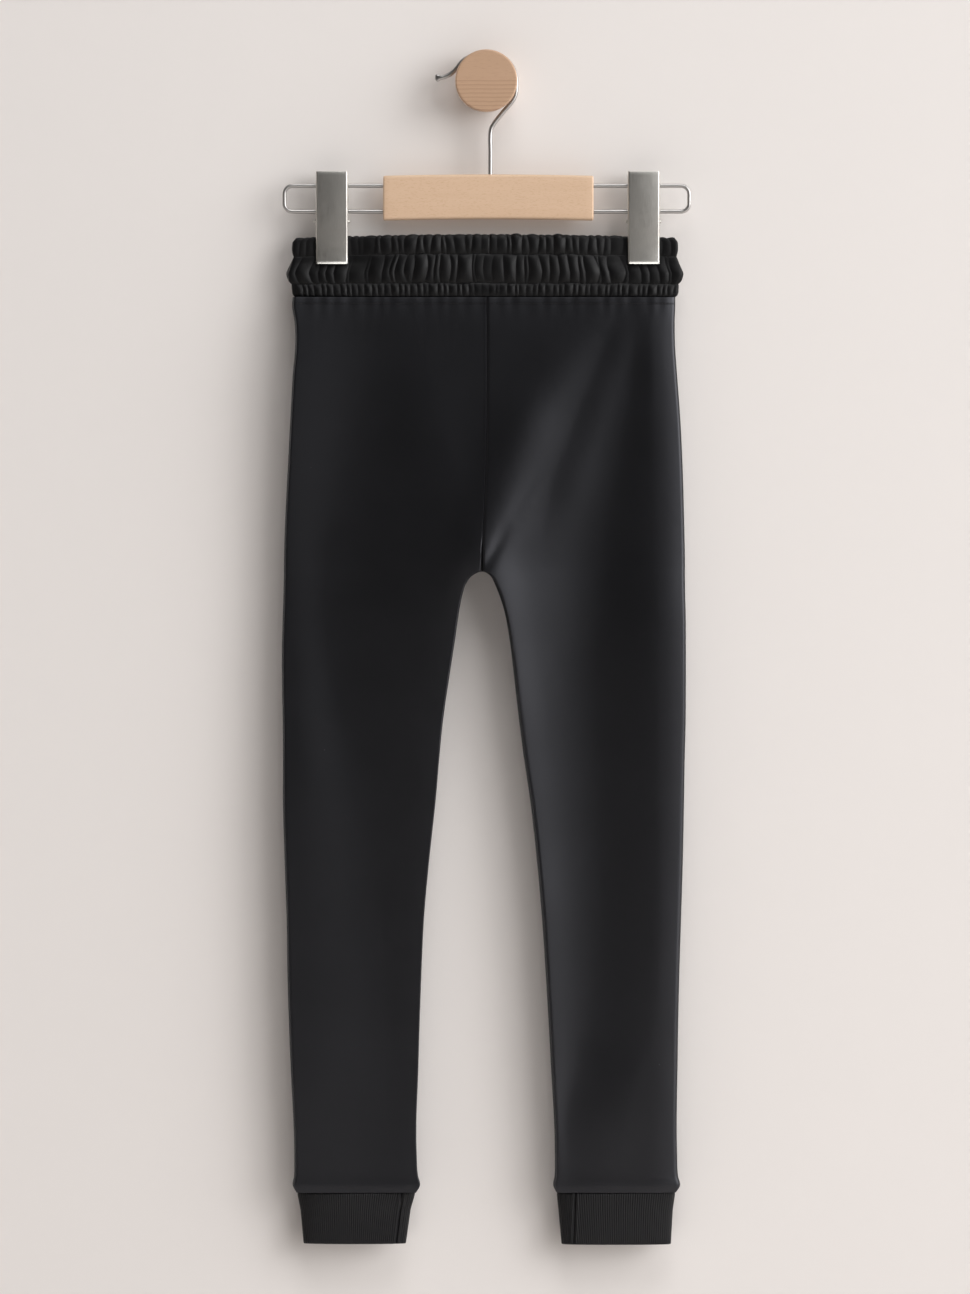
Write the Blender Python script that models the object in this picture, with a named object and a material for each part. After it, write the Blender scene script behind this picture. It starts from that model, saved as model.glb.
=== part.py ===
"""Joggers on a clip hanger, hung from a round wooden wall peg.

The origin is the centre of the peg's back face, on the wall. X runs to the right for someone who
faces the wall, Y into the wall and Z up. The back of the joggers faces the room, so the wearer's
left leg is on the left. Lengths in the tables are in millimetres.
"""
import math
from collections import namedtuple

import bmesh
import bpy
import numpy as np

MM = 0.001

# Gap between pieces that touch, and the upright plane in which the hanger and the joggers hang.
SEAM_GAP = 0.3
HANGING_Y = -20.0

# Wall peg, turned from wood: radius and distance from the wall at each turn of its profile.
PegTurn = namedtuple("PegTurn", "radius y")
NECK_RADIUS = 23.8
NECK_FLARE = 0.8
NECK_LENGTH = 26.0
DISC_RADIUS = 27.0
DISC_THICKNESS = 10.0
DISC_BACK_ROUND = 0.8
DISC_FRONT_ROUND = 1.4
PEG_PROFILE = (
    PegTurn(NECK_RADIUS + NECK_FLARE, 0.0),
    PegTurn(NECK_RADIUS, -12.0),
    PegTurn(NECK_RADIUS, -NECK_LENGTH),
    PegTurn(DISC_RADIUS - DISC_BACK_ROUND, -NECK_LENGTH),
    PegTurn(DISC_RADIUS, -NECK_LENGTH - DISC_BACK_ROUND),
    PegTurn(DISC_RADIUS, -NECK_LENGTH - DISC_THICKNESS + DISC_FRONT_ROUND),
    PegTurn(DISC_RADIUS - DISC_FRONT_ROUND, -NECK_LENGTH - DISC_THICKNESS),
)
PEG_SIDES = 36

# Hanger: a bowed wooden block, two wire loops let into its ends and a hook let into its top.
BLOCK_CENTRE_X = 1.8
BLOCK_CENTRE_Z = -101.4
BLOCK_LENGTH = 183.0
BLOCK_HEIGHT = 38.6
BLOCK_THICKNESS = 14.0
BLOCK_BOW = 1.2
BLOCK_EDGE_ROUND = 3.0
WIRE_RADIUS = 1.8
WIRE_DEPTH_IN_BLOCK = 16.0
WIRE_TOP_Z = -90.6
WIRE_BOTTOM_Z = -113.0
WIRE_CORNER_RADIUS = 7.0
WIRE_END_X = {"left": -175.7, "right": 176.5}
HOOK_RADIUS = 2.0
HOOK_DEPTH_IN_BLOCK = 14.0
HOOK_STEM_X = 3.5
HOOK_BEND_RADIUS = NECK_RADIUS + SEAM_GAP + HOOK_RADIUS
HOOK_WRAP_ANGLE = 120.0
WIRE_SIDES_RESOLUTION = 2

# The hook's route in front of the wall: the stem's upper bend, and the free end left of the peg.
HOOK_UPPER_BEND = ((3.5, -60.0), (3.5, -44.5), (6.3, -37.0), (14.6, -26.4), (21.8, -18.0), (25.6, -10.5))
HOOK_FREE_END = (
    (-18.8, 19.4), (-22.4, 16.2), (-25.0, 12.8), (-28.2, 9.2), (-32.4, 6.0), (-37.4, 4.0), (-42.6, 3.2),
)

# Trouser clips: a front and a back channel of sheet steel on a pin, closed on the waistband.
CLIP_CENTRE_X = {"left": -134.2, "right": 136.9}
CLIP_HALF_WIDTH = 13.9
CLIP_SHEET = 1.2
CLIP_BEND = 1.2
CLIP_PIN_Z = -121.6
CLIP_PIN_STAND_OUT = 0.6
TOP_HALF_GAP = 3.6
JAW_HALF_GAP = 3.8
JAW_LIP_HALF_GAP = 4.7
FLANGE_HALF_GAP = WIRE_RADIUS + SEAM_GAP
ClipStation = namedtuple("ClipStation", "z face flange")
CLIP_STATIONS = (
    ClipStation(-78.5, 8.6, TOP_HALF_GAP),
    ClipStation(-82.0, 9.2, FLANGE_HALF_GAP),
    ClipStation(-127.0, 7.4, FLANGE_HALF_GAP),
    ClipStation(-132.0, 6.9, JAW_HALF_GAP),
    ClipStation(-156.0, 5.5, JAW_HALF_GAP),
    ClipStation(-158.8, 6.6, JAW_LIP_HALF_GAP),
)

# Waistband: a tube gathered on elastic in three channels between two stitch lines.
# The spread widens the tube, the bulge thickens it and the gather is half the height of its waves.
# The pinch is 1 where the clips press the tube flat.
BAND_CENTRE_X = -1.1
BAND_HALF_WIDTH = 166.4
BAND_HALF_DEPTH = 6.8
BAND_PINCHED_HALF_DEPTH = 2.9
BAND_SQUARENESS = 6.0
BAND_WALL = 2.6
BAND_CROWN = 3.2
BAND_WAVES = 88
BAND_PINCH_FADE = 30.0
BAND_SEAM_X = 3.0
BAND_SEAM_FLAT = 13.0
SEAM_GATHER_SHARE = 0.25
GATHER_UNEVENNESS = 0.35
CLIP_FLATTENING = 0.7
CLIP_CLEARANCE = 1.0
BandRow = namedtuple("BandRow", "z channel spread bulge gather pinch")
BAND_ROWS = (
    BandRow(-137.4, 1, -0.5, -0.8, 0.5, 1.0),
    BandRow(-139.6, 1, 1.0, 0.1, 1.0, 1.0),
    BandRow(-147.0, 1, 1.0, 0.4, 1.2, 1.0),
    BandRow(-152.5, 1, 0.4, -1.0, 0.4, 1.0),
    BandRow(-158.0, 2, 2.0, 0.3, 1.2, 1.0),
    BandRow(-167.0, 2, 5.2, 0.8, 1.5, 0.55),
    BandRow(-173.5, 2, 4.0, 0.3, 1.2, 0.4),
    BandRow(-176.3, 2, 2.4, -1.0, 0.4, 0.3),
    BandRow(-181.0, 3, 1.0, 0.2, 1.1, 0.2),
    BandRow(-185.0, 3, 0.8, 0.0, 1.0, 0.1),
    BandRow(-187.4, 3, -0.2, -0.8, 0.5, 0.0),
)
BAND_INNER_ROWS = (0, 4, 10)

# Body and legs: the edges seen from the room, and the half depth of the flattened tube.
# Above the crotch the two inner edges are the centre seam. The tube turns in at its edges over the width
# of a rounding, and the rounder the number, the more sharply.
PANEL_WALL = 1.6
PANEL_COLUMNS = 14
SIDE_ROUND = 16.0
SIDE_ROUNDNESS = 4.0
INNER_ROUND = 9.0
INNER_ROUNDNESS = 5.0
CROTCH_Z = -426.2
CROTCH_CURVE = 30.0
Section = namedtuple("Section", "z left_side left_inner right_inner right_side half_depth")
SECTIONS = (
    Section(-187.7, -168.4, 0.0, 0.0, 164.4, 7.0),
    Section(-196.0, -168.8, 0.0, 0.0, 164.4, 8.2),
    Section(-208.0, -166.8, 0.2, 0.2, 164.0, 9.6),
    Section(-228.0, -166.0, 0.2, 0.2, 164.2, 11.0),
    Section(-255.0, -168.2, 0.3, 0.3, 166.0, 12.0),
    Section(-290.0, -170.2, 0.2, 0.2, 168.6, 12.6),
    Section(-335.0, -172.5, -0.8, -0.8, 170.8, 13.0),
    Section(-375.0, -174.6, -2.4, -2.4, 172.0, 13.0),
    Section(-402.0, -175.6, -3.8, -3.8, 172.6, 13.0),
    Section(-413.0, -175.9, -4.1, -4.1, 172.8, 13.0),
    Section(-421.0, -176.0, -4.2, -4.2, 172.8, 13.0),
    Section(CROTCH_Z, -176.0, -4.2, -4.2, 172.8, 13.0),
    Section(-427.6, -176.0, -8.8, 0.6, 172.8, 13.0),
    Section(-431.0, -176.0, -13.4, 4.4, 172.8, 13.0),
    Section(-437.5, -176.2, -17.9, 7.6, 172.9, 13.0),
    Section(-446.5, -176.4, -20.7, 11.3, 173.0, 13.0),
    Section(-461.7, -176.8, -23.7, 16.0, 173.4, 13.0),
    Section(-486.0, -177.6, -27.2, 20.4, 173.6, 12.9),
    Section(-521.0, -177.6, -32.6, 24.6, 173.6, 12.7),
    Section(-556.0, -177.0, -37.6, 28.6, 173.4, 12.5),
    Section(-590.0, -176.8, -41.0, 33.0, 172.6, 12.3),
    Section(-625.0, -176.8, -44.0, 38.2, 172.0, 12.1),
    Section(-677.0, -175.4, -49.6, 44.0, 171.0, 11.7),
    Section(-729.0, -173.6, -54.2, 48.6, 169.4, 11.3),
    Section(-781.0, -172.8, -56.6, 52.0, 167.8, 11.0),
    Section(-855.0, -170.2, -59.0, 56.2, 166.4, 10.7),
    Section(-930.0, -167.0, -60.6, 59.6, 166.0, 10.6),
    Section(-952.0, -167.2, -59.4, 59.4, 166.9, 11.0),
    Section(-960.7, -168.1, -57.8, 58.4, 168.4, 11.4),
    Section(-965.8, -165.2, -60.8, 60.8, 165.2, 10.6),
)

# The room's side of the body is its back, and the wall's side its front.
BACK = -1
FRONT = 1

# Broad form of the back: at each height a crest by the centre or the inside leg, a trough and a ridge by
# the side seam, each with its place across and its height over the half depth.
BackForm = namedtuple("BackForm", "z crest_x crest trough_x trough ridge_x ridge")
BACK_FORM = {
    "left": (
        BackForm(-187.7, -40.0, 0.0, -90.0, 0.0, -146.0, 0.6),
        BackForm(-250.0, -44.0, 1.6, -92.0, 0.7, -156.0, 4.0),
        BackForm(-303.0, -34.0, 3.0, -102.0, -0.8, -158.0, 1.8),
        BackForm(-355.0, -16.0, 5.0, -116.0, -1.2, -160.0, 0.4),
        BackForm(-407.0, -6.0, 7.4, -128.0, -1.4, -160.0, 0.2),
        BackForm(-451.0, -24.0, 7.4, -126.0, -1.4, -160.0, 0.2),
        BackForm(-503.0, -34.0, 6.0, -118.0, -1.0, -160.0, 1.2),
        BackForm(-555.0, -42.0, 4.2, -106.0, -0.4, -158.0, 2.4),
        BackForm(-625.0, -50.0, 2.4, -92.0, 0.2, -156.0, 3.4),
        BackForm(-694.0, -56.0, 1.4, -86.0, 0.4, -154.0, 3.4),
        BackForm(-764.0, -60.0, 0.0, -84.0, 0.3, -152.0, 3.0),
        BackForm(-880.0, -64.0, -0.8, -84.0, 0.0, -150.0, 2.2),
        BackForm(-965.8, -68.0, 0.0, -90.0, 0.0, -146.0, 0.4),
    ),
    "right": (
        BackForm(-187.7, 50.0, 0.0, 124.0, 0.0, 146.0, 0.0),
        BackForm(-250.0, 44.0, 1.6, 124.0, -1.2, 146.0, 0.0),
        BackForm(-303.0, 26.0, 3.0, 116.0, -1.8, 146.0, 0.4),
        BackForm(-355.0, 8.0, 5.0, 107.0, -1.8, 148.0, 1.4),
        BackForm(-407.0, 0.0, 7.4, 98.0, -1.4, 148.0, 2.6),
        BackForm(-451.0, 20.0, 7.4, 92.0, 0.0, 147.0, 4.6),
        BackForm(-503.0, 28.0, 6.6, 85.0, 0.2, 146.0, 5.8),
        BackForm(-555.0, 36.0, 5.2, 88.0, 0.0, 146.0, 5.8),
        BackForm(-625.0, 44.0, 4.2, 94.0, -0.2, 148.0, 5.4),
        BackForm(-694.0, 50.0, 3.8, 96.0, 0.0, 148.0, 4.6),
        BackForm(-764.0, 55.0, 3.4, 94.0, 0.1, 144.0, 2.8),
        BackForm(-834.0, 59.0, 2.6, 90.0, 0.2, 150.0, -1.0),
        BackForm(-903.0, 62.0, 1.2, 88.0, 0.4, 156.0, -2.6),
        BackForm(-965.8, 66.0, 0.0, 92.0, 0.0, 150.0, -0.8),
    ),
}

# Folds on that form: a soft ridge, or a trough where the height is negative, from a first to a second
# point, each with the width of its left and right slope.
Fold = namedtuple("Fold", "face x z height left right x_end z_end height_end left_end right_end")
FOLDS = (
    Fold(BACK, -2.9, -397.0, 2.2, 22.0, 24.0, 31.9, -299.0, 2.4, 26.0, 26.0),
    Fold(BACK, 31.9, -299.0, 2.4, 26.0, 26.0, 90.2, -214.0, 1.2, 24.0, 22.0),
    Fold(BACK, 77.0, -338.0, 0.9, 14.0, 12.0, 114.0, -232.0, 0.8, 12.0, 12.0),
    Fold(BACK, 8.0, -436.0, 1.6, 14.0, 20.0, 40.0, -560.0, 0.8, 12.0, 18.0),
    Fold(BACK, 2.0, -404.0, 1.1, 5.0, 4.0, 14.6, -375.0, 0.3, 6.0, 6.0),
    Fold(BACK, 8.0, -406.0, -1.0, 4.0, 5.0, 20.0, -384.0, -0.2, 6.0, 6.0),
    Fold(FRONT, -10.0, -404.0, 2.4, 20.0, 20.0, -54.0, -270.0, 1.6, 22.0, 22.0),
    Fold(FRONT, 14.0, -398.0, 2.2, 22.0, 22.0, 62.0, -250.0, 1.4, 20.0, 20.0),
    Fold(FRONT, -34.0, -450.0, 2.8, 36.0, 36.0, -66.0, -800.0, 1.4, 22.0, 22.0),
    Fold(FRONT, 28.0, -450.0, 2.6, 38.0, 38.0, 62.0, -780.0, 1.6, 22.0, 22.0),
    Fold(FRONT, -146.0, -300.0, 1.2, 14.0, 14.0, -144.0, -840.0, 1.2, 14.0, 14.0),
    Fold(FRONT, 144.0, -340.0, 1.2, 14.0, 14.0, 140.0, -900.0, 1.2, 14.0, 14.0),
)
FOLD_END_FADE = 45.0

# Ribbed cuffs, a little narrower at the hem than at the seam.
CUFF_WALL = 2.2
CUFF_RIB_PITCH = 1.95
CUFF_RIB_HEIGHT = 0.35
CUFF_SQUARENESS = 2.6
CUFF_INNER_POINTS = 50
CuffRow = namedtuple("CuffRow", "z centre_x half_width half_depth")
CUFF_ROWS = {
    "left": (
        CuffRow(-966.1, -113.1, 51.2, 10.5),
        CuffRow(-981.0, -113.7, 47.6, 10.2),
        CuffRow(-1010.6, -114.4, 44.2, 9.4),
    ),
    "right": (
        CuffRow(-966.1, 112.8, 51.3, 10.5),
        CuffRow(-981.0, 112.5, 49.4, 10.2),
        CuffRow(-1011.2, 113.0, 47.2, 9.4),
    ),
}


def clear_scene():
    for item in list(bpy.data.objects):
        bpy.data.objects.remove(item, do_unlink=True)


def make_material(name, colour, roughness, metallic=0.0):
    material = bpy.data.materials.new(name)
    material.use_nodes = True
    shader = material.node_tree.nodes["Principled BSDF"]
    shader.inputs["Base Color"].default_value = (*colour, 1.0)
    shader.inputs["Roughness"].default_value = roughness
    shader.inputs["Metallic"].default_value = metallic
    material.diffuse_color = (*colour, 1.0)
    return material


def add_solid(name, points, faces, material, sharp_angle=40.0):
    """Adds one closed body, given in millimetres, with its faces turned outward."""
    mesh = bpy.data.meshes.new(name)
    shape = bmesh.new()
    vertices = [shape.verts.new(np.asarray(point, dtype=float) * MM) for point in points]
    for face in faces:
        shape.faces.new([vertices[index] for index in face])
    bmesh.ops.recalc_face_normals(shape, faces=shape.faces)
    shape.to_mesh(mesh)
    shape.free()
    mesh.shade_smooth()
    mesh.set_sharp_from_angle(angle=math.radians(sharp_angle))
    solid = bpy.data.objects.new(name, mesh)
    solid.data.materials.append(material)
    bpy.context.collection.objects.link(solid)
    return solid


def loft_faces(loops, count):
    """Faces between closed loops of equal length, with the first and last loop capped."""
    faces = [tuple(range(count)), tuple((loops - 1) * count + index for index in range(count))]
    for loop in range(loops - 1):
        for index in range(count):
            after = (index + 1) % count
            below = (loop + 1) * count
            faces.append((loop * count + index, loop * count + after, below + after, below + index))
    return faces


def band_faces(first, rows, count):
    """Faces of an open tube whose points start at first, row after row."""
    faces = []
    for row in range(rows - 1):
        top = first + row * count
        for index in range(count):
            after = (index + 1) % count
            faces.append((top + index, top + after, top + count + after, top + count + index))
    return faces


def rim_faces(outer, outer_count, inner, inner_count):
    """Flat ring between an outer loop and an inner loop that has fewer points."""
    share = outer_count // inner_count
    faces = []
    for step in range(inner_count):
        after = (step + 1) % inner_count
        middle = share // 2
        for part in range(share):
            start = step * share + part
            corner = step if part < middle else after
            faces.append((outer + start, outer + (start + 1) % outer_count, inner + corner))
        faces.append((inner + step, inner + after, outer + step * share + middle))
    return faces


def add_tube(name, outer_rows, inner_rows, material):
    """Adds a cloth tube from rows of outer points and rows of fewer inner points.

    Every gather or rib has two outer points, so its two sides meet in a crisp ridge.
    """
    outer_count = len(outer_rows[0])
    inner_count = len(inner_rows[0])
    inner_start = outer_count * len(outer_rows)
    faces = band_faces(0, len(outer_rows), outer_count)
    faces += band_faces(inner_start, len(inner_rows), inner_count)
    faces += rim_faces(0, outer_count, inner_start, inner_count)
    last_outer = outer_count * (len(outer_rows) - 1)
    last_inner = inner_start + inner_count * (len(inner_rows) - 1)
    faces += rim_faces(last_outer, outer_count, last_inner, inner_count)
    points = [point for row in list(outer_rows) + list(inner_rows) for point in row]
    return add_solid(name, points, faces, material, sharp_angle=10.0)


def even_loop(half_width, half_depth, squareness, count):
    """Points at even steps round a flattened loop, and their outward directions in plan.

    half_depth is a function of x, so that a clip can press the loop flat at one place.
    """
    turn = np.linspace(0.0, 2.0 * math.pi, 1441)
    x = half_width * np.cos(turn)
    rise = (1.0 - np.abs(np.cos(turn)) ** squareness).clip(0.0, 1.0) ** (1.0 / squareness)
    y = half_depth(x) * rise * np.where(turn < math.pi, -1.0, 1.0)
    length = np.concatenate([[0.0], np.cumsum(np.hypot(np.diff(x), np.diff(y)))])
    steps = np.linspace(0.0, length[-1], count, endpoint=False)
    even_x = np.interp(steps, length, x)
    even_y = np.interp(steps, length, y)
    along_x = np.roll(even_x, -1) - np.roll(even_x, 1)
    along_y = np.roll(even_y, -1) - np.roll(even_y, 1)
    size = np.hypot(along_x, along_y)
    return even_x, even_y, -along_y / size, along_x / size


def clip_nearness(x):
    """1 under a clip, fading to 0 beside it."""
    nearness = np.zeros_like(x)
    for centre in CLIP_CENTRE_X.values():
        beside = (np.abs(x + BAND_CENTRE_X - centre) - CLIP_HALF_WIDTH - CLIP_CLEARANCE).clip(0.0)
        nearness = np.maximum(nearness, np.exp(-((beside / BAND_PINCH_FADE) ** 2)))
    return nearness


def band_depth(row, inset):
    """Half depth of the waistband at a row, as a function of x."""
    def depth(x):
        pressed = row.pinch * clip_nearness(x)
        return BAND_HALF_DEPTH + (BAND_PINCHED_HALF_DEPTH - BAND_HALF_DEPTH) * pressed - inset
    return depth


def band_height(row, x):
    """The top edge is crowned, and the crown fades out down to the seam."""
    fade = (row.z - BAND_ROWS[-1].z) / (BAND_ROWS[0].z - BAND_ROWS[-1].z)
    return row.z + BAND_CROWN * fade * (1.0 - (x / BAND_HALF_WIDTH) ** 2).clip(0.0)


def band_outer_row(row):
    half_width = BAND_HALF_WIDTH + row.spread
    x, y, out_x, out_y = even_loop(half_width, band_depth(row, 0.0), BAND_SQUARENESS, 2 * BAND_WAVES)
    pressed = row.pinch * clip_nearness(x)
    point_number = np.arange(2 * BAND_WAVES)
    beat = np.sin(point_number * 0.9) * np.cos(point_number * 0.37 + 2.0 * row.channel)
    uneven = 1.0 + GATHER_UNEVENNESS * beat
    at_seam = (y < 0.0) & (np.abs(x + BAND_CENTRE_X - BAND_SEAM_X) < BAND_SEAM_FLAT)
    crest_or_valley = np.where((point_number + row.channel) % 2, 1.0, -1.0)
    gather = row.gather * uneven * crest_or_valley * np.where(at_seam, SEAM_GATHER_SHARE, 1.0)
    push = (row.bulge + gather) * (1.0 - CLIP_FLATTENING * pressed)
    z = band_height(row, x)
    return np.column_stack([x + BAND_CENTRE_X + out_x * push, HANGING_Y + y + out_y * push, z])


def band_inner_row(row):
    half_width = BAND_HALF_WIDTH + row.spread - BAND_WALL
    x, y, _, _ = even_loop(half_width, band_depth(row, BAND_WALL), BAND_SQUARENESS, BAND_WAVES)
    return np.column_stack([x + BAND_CENTRE_X, HANGING_Y + y, band_height(row, x)])


def add_waistband(cloth):
    outer = [band_outer_row(row) for row in BAND_ROWS]
    inner = [band_inner_row(BAND_ROWS[index]) for index in BAND_INNER_ROWS]
    add_tube("waistband", outer, inner, cloth)


def add_cuff(side, rib):
    """Adds a ribbed tube: ribs on the outside, plain inside."""
    girth = 4.0 * CUFF_ROWS[side][1].half_width + 2.0 * CUFF_ROWS[side][1].half_depth
    share = round(2.0 * girth / CUFF_RIB_PITCH / CUFF_INNER_POINTS / 2.0) * 2
    outer_count = CUFF_INNER_POINTS * share
    rib_height = np.where(np.arange(outer_count) % 2, 0.0, CUFF_RIB_HEIGHT)
    outer = []
    for row in CUFF_ROWS[side]:
        x, y, out_x, out_y = even_loop(
            row.half_width, lambda _, depth=row.half_depth: depth, CUFF_SQUARENESS, outer_count)
        outer.append(np.column_stack([
            row.centre_x + x + out_x * rib_height,
            HANGING_Y + y + out_y * rib_height,
            np.full(outer_count, row.z)]))
    inner = []
    for row in (CUFF_ROWS[side][0], CUFF_ROWS[side][-1]):
        depth = row.half_depth - CUFF_WALL
        x, y, _, _ = even_loop(
            row.half_width - CUFF_WALL, lambda _, depth=depth: depth, CUFF_SQUARENESS, CUFF_INNER_POINTS)
        z = np.full(CUFF_INNER_POINTS, row.z)
        inner.append(np.column_stack([row.centre_x + x, HANGING_Y + y, z]))
    add_tube(f"cuff_{side}", outer, inner, rib)


def soft_step(share):
    """0 to 1 with level ends."""
    share = min(1.0, max(0.0, share))
    return share * share * (3.0 - 2.0 * share)


def back_form(side, x, z):
    """Height of the back's broad form: level to the crest, then down to the trough and up to the ridge."""
    table = np.array(BACK_FORM[side])[::-1]
    crest_x, crest, trough_x, trough, ridge_x, ridge = (
        float(np.interp(z, table[:, 0], table[:, column])) for column in range(1, 7))
    fall = soft_step((x - crest_x) / (trough_x - crest_x))
    climb = soft_step((x - trough_x) / (ridge_x - trough_x))
    return crest + (trough - crest) * fall + (ridge - trough) * climb


def fold_height(face, x, z):
    """Height of the folds of one face at a point, with ridges that meet running into each other."""
    ridges = 0.0
    troughs = 0.0
    for fold in FOLDS:
        if fold.face != face:
            continue
        run_x, run_z = fold.x_end - fold.x, fold.z_end - fold.z
        length = math.hypot(run_x, run_z)
        position = ((x - fold.x) * run_x + (z - fold.z) * run_z) / length
        beside = ((x - fold.x) * run_z - (z - fold.z) * run_x) / length * math.copysign(1.0, run_z)
        beyond = max(0.0, -position, position - length)
        share = min(1.0, max(0.0, position / length))
        left = fold.left + (fold.left_end - fold.left) * share
        right = fold.right + (fold.right_end - fold.right) * share
        peak = fold.height + (fold.height_end - fold.height) * share
        width = left if beside < 0.0 else right
        height = peak * math.exp(-(beside / width) ** 2 - (beyond / FOLD_END_FADE) ** 2)
        ridges += max(0.0, height) ** 3
        troughs += min(0.0, height)
    return ridges ** (1.0 / 3.0) + troughs


def crotch_opening(z):
    """How far apart front and back are at the centre seam: 1 above the crotch curve, 0 at the crotch."""
    down = min(1.0, max(0.0, (CROTCH_Z + CROTCH_CURVE - z) / CROTCH_CURVE))
    return math.sqrt(1.0 - down ** 2)


def edge_rise(from_edge, width, roundness, opening):
    """Share of the half depth: the opening at the edge, rising to 1 over a rounding's width."""
    towards_edge = min(1.0, max(0.0, 1.0 - from_edge / width))
    closed = 1.0 - opening ** roundness
    return max(0.0, 1.0 - closed * towards_edge ** roundness) ** (1.0 / roundness)


def panel_skin(side, face):
    """Outer skin of one panel: rows from the waist down, points from the inner edge to the side."""
    sign = -1.0 if side == "left" else 1.0
    rows = []
    for section in SECTIONS:
        inner_x = getattr(section, f"{side}_inner")
        side_x = getattr(section, f"{side}_side")
        if section.z >= CROTCH_Z:
            inner_x += sign * SEAM_GAP / 2.0
        opening = crotch_opening(section.z)
        row = []
        for column in range(PANEL_COLUMNS + 1):
            across = 0.5 * (1.0 - math.cos(math.pi * column / PANEL_COLUMNS))
            x = inner_x + (side_x - inner_x) * across
            rise = edge_rise(abs(side_x - x), SIDE_ROUND, SIDE_ROUNDNESS, 0.0)
            rise *= edge_rise(abs(x - inner_x), INNER_ROUND, INNER_ROUNDNESS, opening)
            depth = section.half_depth + fold_height(face, x, section.z)
            if face == BACK:
                depth += back_form(side, x, section.z)
            row.append((x, HANGING_Y + face * (SEAM_GAP / 2.0 + depth * rise), section.z))
        rows.append(row)
    return np.array(rows)


def skin_normals(skin, side, face):
    """Outward directions, kept in the seam's plane along each edge."""
    sign = -1.0 if side == "left" else 1.0
    normals = np.cross(np.gradient(skin, axis=1), np.gradient(skin, axis=0)) * sign * face
    above = skin[:, 0, 2] > CROTCH_Z
    normals[:, -1, 1] = 0.0
    normals[above, 0, 0] = 0.0
    normals[~above, 0, 1] = 0.0
    normals[np.argmin(np.abs(skin[:, 0, 2] - CROTCH_Z)), 0] = (0.0, 0.0, -1.0)
    normals[0, :, 2] = 0.0
    normals[-1, :, 2] = 0.0
    return normals / np.linalg.norm(normals, axis=2, keepdims=True)


def grid_faces(first, rows, columns):
    faces = []
    for row in range(rows - 1):
        for column in range(columns - 1):
            corner = first + row * columns + column
            faces.append((corner, corner + 1, corner + columns + 1, corner + columns))
    return faces


def add_panel(side, face, cloth):
    """Adds a quarter of the body with its half of a leg, as a wall between two skins."""
    outer = panel_skin(side, face)
    inner = outer - PANEL_WALL * skin_normals(outer, side, face)
    rows, columns = outer.shape[:2]
    count = rows * columns
    faces = grid_faces(0, rows, columns) + grid_faces(count, rows, columns)
    edge = [row * columns for row in range(rows)]
    edge += [(rows - 1) * columns + column for column in range(1, columns)]
    edge += [row * columns + columns - 1 for row in range(rows - 2, -1, -1)]
    edge += list(range(columns - 2, 0, -1))
    for index, point in enumerate(edge):
        after = edge[(index + 1) % len(edge)]
        faces.append((point, after, count + after, count + point))
    name = f"{'back' if face == BACK else 'front'}_{side}_panel"
    points = np.concatenate([outer.reshape(-1, 3), inner.reshape(-1, 3)])
    add_solid(name, points, faces, cloth, sharp_angle=60.0)


def add_peg(wood):
    points = []
    for turn in PEG_PROFILE:
        for side in range(PEG_SIDES):
            angle = 2.0 * math.pi * side / PEG_SIDES
            points.append((turn.radius * math.cos(angle), turn.y, turn.radius * math.sin(angle)))
    add_solid("wall_peg", points, loft_faces(len(PEG_PROFILE), PEG_SIDES), wood)


def add_wire(name, route, radius, steel):
    """Adds a round wire along points in the hanging plane."""
    curve = bpy.data.curves.new(name, "CURVE")
    curve.dimensions = "3D"
    curve.resolution_u = 1
    curve.bevel_depth = radius * MM
    curve.bevel_resolution = WIRE_SIDES_RESOLUTION
    curve.use_fill_caps = True
    spline = curve.splines.new("POLY")
    spline.points.add(len(route) - 1)
    for point, (x, z) in zip(spline.points, route):
        point.co = (x * MM, HANGING_Y * MM, z * MM, 1.0)
    curve.materials.append(steel)
    wire = bpy.data.objects.new(name, curve)
    bpy.context.collection.objects.link(wire)
    return wire


def corner_arc(centre_x, centre_z, start, end, radius, steps=5):
    """Points of an arc in the hanging plane, with its angles in degrees."""
    arc = []
    for step in range(steps + 1):
        angle = math.radians(start + (end - start) * step / steps)
        arc.append((centre_x + radius * math.cos(angle), centre_z + radius * math.sin(angle)))
    return arc


def add_wire_loop(side, steel):
    """Adds a U of wire: out of the block, round the end and back into it."""
    sign = -1.0 if side == "left" else 1.0
    inside_x = BLOCK_CENTRE_X + sign * (BLOCK_LENGTH / 2.0 - WIRE_DEPTH_IN_BLOCK)
    corner_x = WIRE_END_X[side] - sign * WIRE_CORNER_RADIUS
    outward = 180.0 if side == "left" else 0.0
    turn = -90.0 * sign
    route = [(inside_x, WIRE_TOP_Z)]
    route += corner_arc(
        corner_x, WIRE_TOP_Z - WIRE_CORNER_RADIUS, outward - turn, outward, WIRE_CORNER_RADIUS)
    route += corner_arc(
        corner_x, WIRE_BOTTOM_Z + WIRE_CORNER_RADIUS, outward, outward + turn, WIRE_CORNER_RADIUS)
    route.append((inside_x, WIRE_BOTTOM_Z))
    return add_wire(f"wire_loop_{side}", route, WIRE_RADIUS, steel)


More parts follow.
